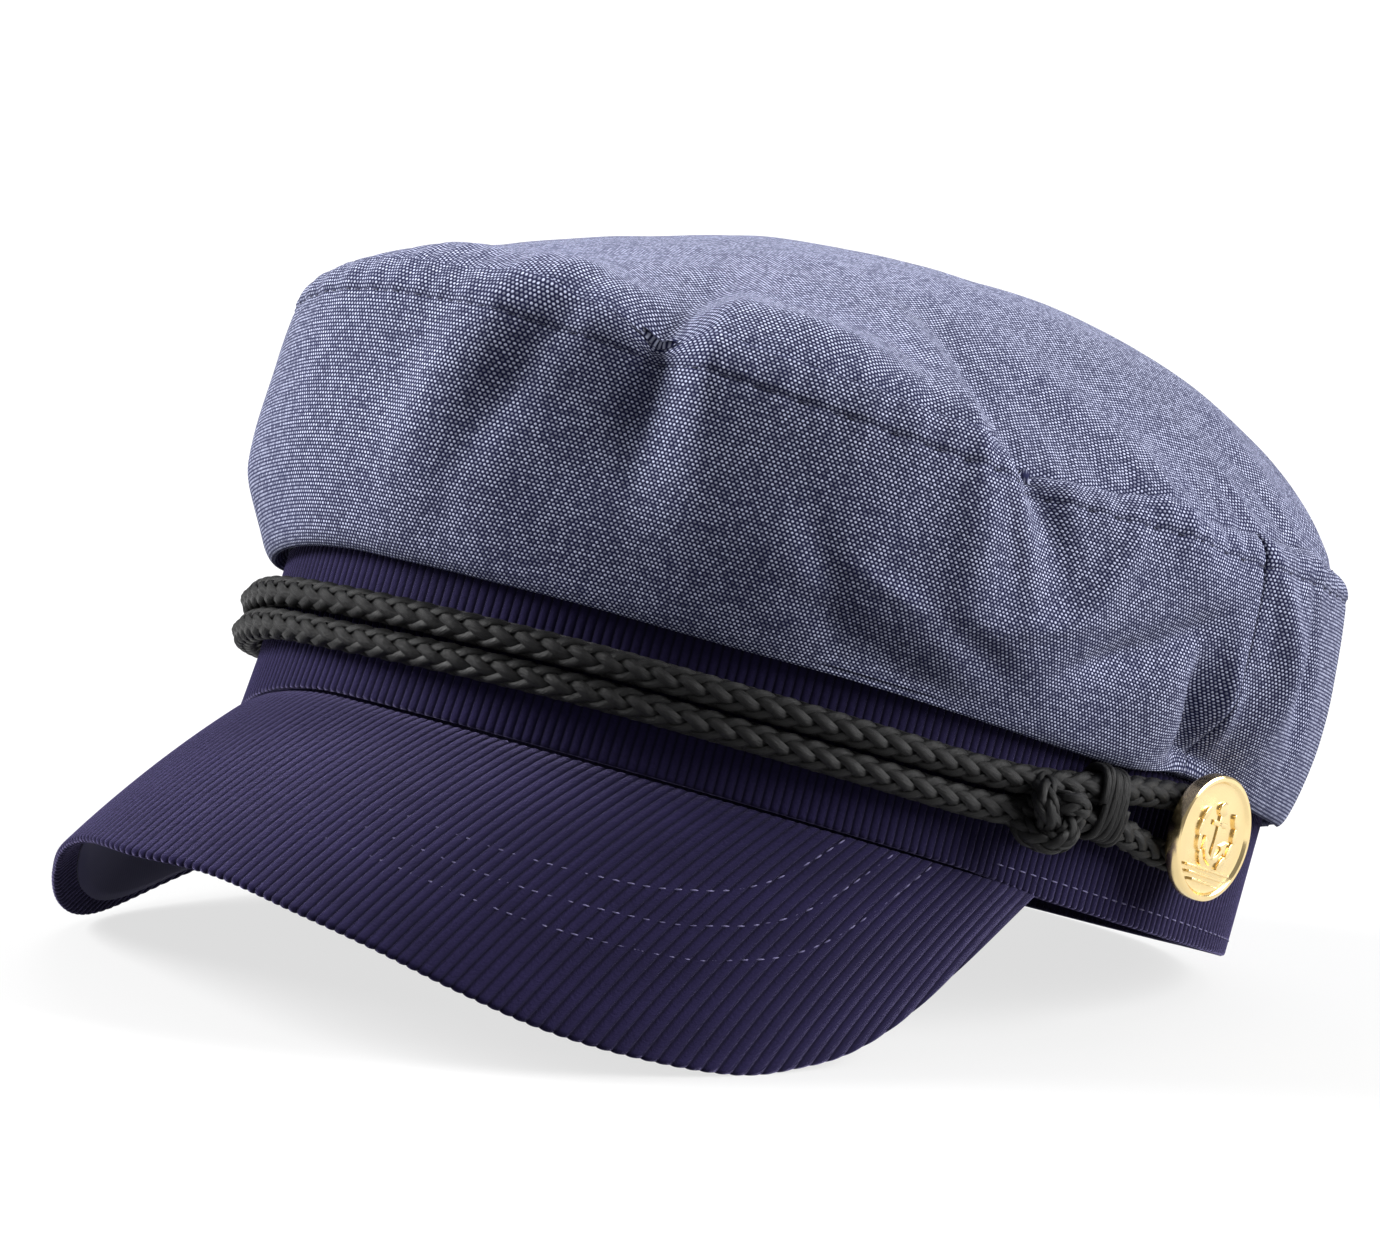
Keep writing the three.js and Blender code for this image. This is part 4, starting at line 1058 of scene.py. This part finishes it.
def make_button(name, side):
    bm = bmesh.new()
    button_disc(bm)
    button_relief(bm)
    bmesh.ops.recalc_face_normals(bm, faces=bm.faces)
    local = np.array([v.co for v in bm.verts])
    for vert, place in zip(bm.verts, to_table(on_band(local, side * BUTTON_ANGLE, BUTTON_HEIGHT))):
        vert.co = place
    button = smooth_piece(name, bm)
    button.data.set_sharp_from_angle(angle=math.radians(35))
    return button


buttons = [make_button("button_left_gilt", 1), make_button("button_right_gilt", -1)]

# %% [markdown]
# ## Writing materials
# A material is a small program. Nodes can be wired one by one, but the sums get hard to read. Here a
# wire from one node can be added, multiplied and so on like a number, and each sum makes the Math
# node that does it. Only what changes over the surface is wired: the rest is set on the shader.

# %% Wires and finishes
class Wire:
    """A node's output that sums can be written with."""

    def __init__(self, finish, socket):
        self.finish, self.socket = finish, socket

    def sum(self, operation, *values):
        return self.finish.node("ShaderNodeMath", {"operation": operation}, *values)

    def __add__(self, other):
        return self.sum("ADD", self, other)

    def __sub__(self, other):
        return self.sum("SUBTRACT", self, other)

    def __mul__(self, other):
        return self.sum("MULTIPLY", self, other)

    def __truediv__(self, other):
        return self.sum("DIVIDE", self, other)

    __radd__ = __add__

    def floor(self):
        return self.sum("FLOOR", self)

    def part(self):
        return self.sum("FRACT", self)

    def size(self):
        return self.sum("ABSOLUTE", self)

    def root(self):
        return self.sum("SQRT", self)

    def wrap(self, length):
        return self.sum("FLOORED_MODULO", self, length)

    def ease(self, low, high, to_low=0.0, to_high=1.0):
        settings = {"interpolation_type": "SMOOTHSTEP"}
        return self.finish.node("ShaderNodeMapRange", settings, self, low, high, to_low, to_high)


class Finish:
    """A material with one Principled shader."""

    def __init__(self, name, **constants):
        self.material = bpy.data.materials.new(name)
        self.material.use_nodes = True
        self.tree = self.material.node_tree
        self.shader = self.tree.nodes["Principled BSDF"]
        for socket, value in constants.items():
            label = socket.replace("_", " ").title().replace("Ior", "IOR")
            self.shader.inputs[label].default_value = value

    def node(self, kind, settings, *values, out=0):
        """A node of a kind: its settings first, then the values or wires of its sockets, in order."""
        node = self.tree.nodes.new(kind)
        for setting, value in settings.items():
            setattr(node, setting, value)
        for socket, value in zip([s for s in node.inputs if s.enabled], values):
            self.wire(value, socket)
        outputs = [s for s in node.outputs if s.enabled]
        return Wire(self, outputs[out])

    def wire(self, value, socket):
        if isinstance(value, Wire):
            self.tree.links.new(value.socket, socket)
        elif value is not None:
            socket.default_value = value

    def cloth(self):
        """The two lengths of the cloth map."""
        node = self.tree.nodes.new("ShaderNodeUVMap")
        node.uv_map = "cloth"
        split = self.tree.nodes.new("ShaderNodeSeparateXYZ")
        self.tree.links.new(node.outputs[0], split.inputs[0])
        return Wire(self, split.outputs[0]), Wire(self, split.outputs[1])

    def place(self):
        return self.node("ShaderNodeTexCoord", {}, out=3)

    def point(self, x, y, z=0.0):
        return self.node("ShaderNodeCombineXYZ", {}, x, y, z)

    def noise(self, vector, scale, detail=2.0, rough=0.5):
        return self.node("ShaderNodeTexNoise", {"noise_dimensions": "3D"}, vector, scale, detail, rough)

    def dots(self, x, y):
        return self.node("ShaderNodeTexWhiteNoise", {"noise_dimensions": "2D"}, self.point(x, y))

    def blend(self, share, a, b):
        settings = {"data_type": "RGBA", "clamp_factor": True}
        return self.node("ShaderNodeMix", settings, share, a, b)

    def bump(self, height, distance, strength):
        node = self.tree.nodes.new("ShaderNodeBump")
        node.inputs["Strength"].default_value = strength
        node.inputs["Distance"].default_value = distance
        self.wire(height, node.inputs["Height"])
        return Wire(self, node.outputs[0])

    def paint(self, color=None, roughness=None, normal=None):
        for socket, value in (("Base Color", color), ("Roughness", roughness), ("Normal", normal)):
            if value is not None:
                self.wire(value, self.shader.inputs[socket])
        return self.material


def shade(red, green, blue):
    """A colour as a picture editor shows it, 0 to 255, for the shader."""
    linear = [((c / 255 + 0.055) / 1.055) ** 2.4 if c > 10 else c / 255 / 12.92 for c in (red, green, blue)]
    return (*linear, 1.0)


# %% [markdown]
# ## Chambray
# Chambray is a plain weave of dark blue thread one way and white thread the other. Close up it is a
# dark cloth with rows of white dots, each row shifted by half a dot. The dots are drawn from the
# cloth map, each a little lighter or darker than the next, with slubs that run along the thread.

# %% Chambray material
DOT_PITCH, ROW_PITCH = 0.87, 0.67


def chambray_finish():
    f = Finish("chambray", roughness=0.92, specular_ior_level=0.15, sheen_weight=0.1, sheen_roughness=0.5)
    f.shader.inputs["Sheen Tint"].default_value = shade(190, 195, 225)
    across, up = f.cloth()
    row = (up / ROW_PITCH).floor()
    x = across / DOT_PITCH + row.wrap(2) * 0.5
    dx = x.part() - 0.5
    dy = (up / ROW_PITCH).part() - 0.5
    reach = (dx * dx * 1.25 + dy * dy).root()
    dot = reach.ease(0.14, 0.46, 1.0, 0.0)
    lively = f.dots(x.floor(), row)
    slub = f.noise(f.point(across * 0.10, up * 1.4), 1.0, 2.0)
    warp_slub = f.noise(f.point(across * 1.2, up * 0.07, 7.0), 1.0, 2.0)
    cloudy = f.noise(f.point(across * 0.03, up * 0.03, 3.0), 1.0, 3.0)
    bright = dot * (0.35 + lively * 0.9) * (0.15 + slub * 1.0 + warp_slub * 0.8)
    thread = f.blend(cloudy, shade(18, 20, 50), shade(30, 33, 72))
    color = f.blend(bright * 0.95, thread, shade(205, 210, 238))
    height = dot * 0.6 + lively * 0.25
    return f.paint(color=color, normal=f.bump(height, 0.00012, 0.7))


# %% [markdown]
# ## Corduroy
# The wales are in the mesh already. The material adds the pile: short fibres that stand up, so that
# the cloth is darkest where it is looked at straight and catches light at its edges, which is what
# sheen does. The gutters between wales get painted shade, a darker colour in the hollows that the
# mesh already shades, and streaks show where the pile was brushed.

# %% Corduroy material
def corduroy_finish():
    f = Finish("corduroy", roughness=0.95, specular_ior_level=0.08, sheen_weight=1.0, sheen_roughness=0.31)
    f.shader.inputs["Sheen Tint"].default_value = shade(200, 190, 255)
    wale, up = f.cloth()
    # painted shade: the colour darkens towards the gutter between wales and is full on the ridge
    ridge_out_of_painted_shade = (wale.part() - 0.5).size().ease(0.18, 0.5, 1.0, 0.0)
    pile = f.noise(f.point(wale * 2.4, up * 1.5), 1.0, 4.0, 0.75)
    brushed = f.noise(f.point(wale * 0.09, up * 0.10, 4.0), 1.0, 3.0)
    light = (0.35 + ridge_out_of_painted_shade * 0.65) * (0.45 + pile * 0.6) * (0.65 + brushed * 0.7)
    color = f.blend(light, shade(11, 10, 20), shade(37, 32, 66))
    return f.paint(color=color, normal=f.bump(pile, 0.0003, 0.8))


# %% [markdown]
# ## Black cord
# The yarns are bundles of shiny fibres, so black shows as many fine grey lines along each yarn. Those lines
# are painted sheen in the colour, and the same fibres also set the roughness and bumps.

# %% Cord material
def cord_finish():
    f = Finish("black_cord", roughness=0.5, specular_ior_level=0.26, sheen_weight=0.02, sheen_roughness=0.4)
    along, around = f.cloth()
    fibres = f.noise(f.point(along * 0.5, around * 22.0 + along * 0.8), 1.0, 3.0, 0.7)
    patch = f.noise(f.point(along * 0.5, around * 2.0, 5.0), 1.0, 2.0)
    # painted sheen: fine grey lines along the fibres, over near-black yarn
    color = f.blend((fibres * 1.6 - 0.3) * (0.5 + patch), shade(1, 1, 2), shade(15, 15, 16))
    rough = fibres.ease(0.3, 0.7, 0.42, 0.62)
    return f.paint(color=color, roughness=rough, normal=f.bump(fibres, 0.00035, 0.9))


# %% [markdown]
# ## Gilt and thread
# Polished gilt is a mirror with a warm colour. Handling leaves it faintly uneven, so its roughness
# changes a little. The threads are matt, and each kind is a shade off the cloth that it holds.

# %% Gilt and thread materials
def gilt_finish():
    f = Finish("gilt", metallic=1.0, roughness=0.2)
    place = f.place()
    smear = f.noise(place, 260.0, 3.0)
    tint = f.noise(place, 90.0, 2.0)
    color = f.blend(tint, shade(244, 214, 150), shade(250, 228, 178))
    rough = smear.ease(0.3, 0.75, 0.14, 0.3)
    return f.paint(color=color, roughness=rough, normal=f.bump(smear, 0.00003, 0.4))


def thread_finish(name, dark, light):
    f = Finish(name, roughness=0.75, specular_ior_level=0.3, sheen_weight=0.2)
    twist = f.noise(f.place(), 2600.0, 1.0)
    return f.paint(color=f.blend(twist, dark, light), normal=f.bump(twist, 0.0001, 0.6))


def lining_finish():
    f = Finish("lining", roughness=0.85, specular_ior_level=0.15, sheen_weight=0.1)
    across, up = f.cloth()
    twill = ((across * 0.8 + up * 0.8).part() - 0.5).size()
    patchy = f.noise(f.point(across * 0.06, up * 0.06), 1.0, 3.0)
    color = f.blend(twill * 0.6 + patchy * 0.5, shade(44, 41, 74), shade(62, 58, 102))
    return f.paint(color=color, normal=f.bump(twill, 0.00008, 0.5))


def dress(material, *pieces):
    for piece in pieces:
        piece.data.materials.clear()
        piece.data.materials.append(material)


chambray = chambray_finish()
corduroy = corduroy_finish()
black_cord = cord_finish()
gilt = gilt_finish()
dark_thread = thread_finish("dark_thread", shade(30, 32, 55), shade(62, 66, 98))
pale_thread = thread_finish("pale_thread", shade(76, 72, 110), shade(116, 110, 152))
dress(chambray, crown_front, crown_back, crown_top)
dress(corduroy, band, peak)
dress(lining_finish(), peak_lining)
dress(black_cord, cord, *knots)
dress(gilt, *buttons)
dress(dark_thread, crown_stitches)
dress(pale_thread, corduroy_stitches)

# %% [markdown]
# ## Fitting the pieces to the frame
# Every piece says which body it moves with, which plain solids it stands for, and which of the
# record's finishes it wears.

# %% Riding and replacing
STANDS_FOR = [
    (crown_front, "crown_front_panel", "chambray"),
    (crown_back, "crown_back_panel", "chambray"),
    (crown_top, "crown_top_panel", "chambray"),
    (band, "band", "corduroy"),
    (peak, "peak", "corduroy"),
    (peak_lining, "peak", "corduroy"),
    (cord, "cord", "cord"),
    (knots[0], "cord", "cord"),
    (knots[1], "cord", "cord"),
    (buttons[0], "button_left", "gilt"),
    (buttons[1], "button_right", "gilt"),
]
for piece, node_name, slot_name in STANDS_FOR:
    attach(piece, "root")
    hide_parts(node_name)
for piece in (crown_stitches, corduroy_stitches):
    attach(piece, "root")

# %% [markdown]
# ## Table and light
# The cap stands on a plain pale table under big soft lamps: a large one at the left for the form, one
# behind and above that draws the top edge, one at the far right for the back, and a pale sky all
# round that keeps the shadows open.

# %% The table
FLOOR_RADIUS = 14.0
FLOOR_SEEN, FLOOR_LIGHTS = 0.2, 0.12
FLOOR_GLOW = 0.72
floor_mesh = bmesh.new()
bmesh.ops.create_circle(floor_mesh, cap_ends=True, cap_tris=False, segments=96, radius=FLOOR_RADIUS)
floor = finish_piece("floor", floor_mesh)


def floor_finish():
    """A lit table top for the camera and in mirrors, and a dim one for what it would throw light on."""
    f = Finish("floor", roughness=0.9, specular_ior_level=0.0)
    f.shader.inputs["Base Color"].default_value = (FLOOR_SEEN, FLOOR_SEEN, FLOOR_SEEN, 1)
    f.shader.inputs["Emission Color"].default_value = (1, 1, 1, 1)
    f.shader.inputs["Emission Strength"].default_value = FLOOR_GLOW
    nodes, links = f.tree.nodes, f.tree.links
    dim = nodes.new("ShaderNodeBsdfDiffuse")
    dim.inputs["Color"].default_value = (FLOOR_LIGHTS, FLOOR_LIGHTS, FLOOR_LIGHTS, 1)
    ray, both = nodes.new("ShaderNodeLightPath"), nodes.new("ShaderNodeMixShader")
    seen = Wire(f, ray.outputs["Is Camera Ray"]) + Wire(f, ray.outputs["Is Glossy Ray"])
    f.wire(seen, both.inputs[0])
    links.new(dim.outputs[0], both.inputs[1])
    links.new(f.shader.outputs[0], both.inputs[2])
    links.new(both.outputs[0], nodes["Material Output"].inputs["Surface"])
    return f.material


dress(floor_finish(), floor)
floor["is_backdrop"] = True

# %% The lamps
SKY_STRENGTH, LAMP_DISTANCE = 0.27, 2.0
world = bpy.data.worlds.new("sky")
bpy.context.scene.world = world
world.use_nodes = True
world.node_tree.nodes["Background"].inputs["Color"].default_value = (1, 1, 1, 1)
world.node_tree.nodes["Background"].inputs["Strength"].default_value = SKY_STRENGTH


def place_lamp(name, azimuth, elevation):
    """A sun lamp that looks at the cap, from a direction in degrees."""
    a, e = math.radians(azimuth), math.radians(elevation)
    toward = Vector((math.sin(a) * math.cos(e), -math.cos(a) * math.cos(e), math.sin(e)))
    lamp = bpy.data.objects.new(name, bpy.data.lights.new(name, "SUN"))
    lamp.location = CAMERA_TARGET + toward * LAMP_DISTANCE
    lamp.rotation_mode = "QUATERNION"
    lamp.rotation_quaternion = (-toward).to_track_quat("-Z", "Y")
    bpy.context.scene.collection.objects.link(lamp)
    return lamp.data


# name, azimuth, elevation, strength, spread in degrees
WINDOWS = [
    ("left_window", -52, 30, 6.0, 30),
    ("top_window", 205, 50, 1.45, 50),
    ("right_window", 138, 26, 5.0, 44),
]
for name, azimuth, elevation, strength, spread in WINDOWS:
    window = place_lamp(name, azimuth, elevation)
    window.energy = strength
    window.angle = math.radians(spread)
bpy.context.scene.view_settings.view_transform = "Standard"

# %% [markdown]
# ## Measuring
# The dressed cap must be as big as the plain one. Both boxes are kept, and their sizes are printed.

# %% Sizes, and the end
seen_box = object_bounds()
for label, (low, high) in (("plain", cad_box), ("dressed", seen_box)):
    print(label, "size in mm", [round(1000 * (b - a), 1) for a, b in zip(low, high)])
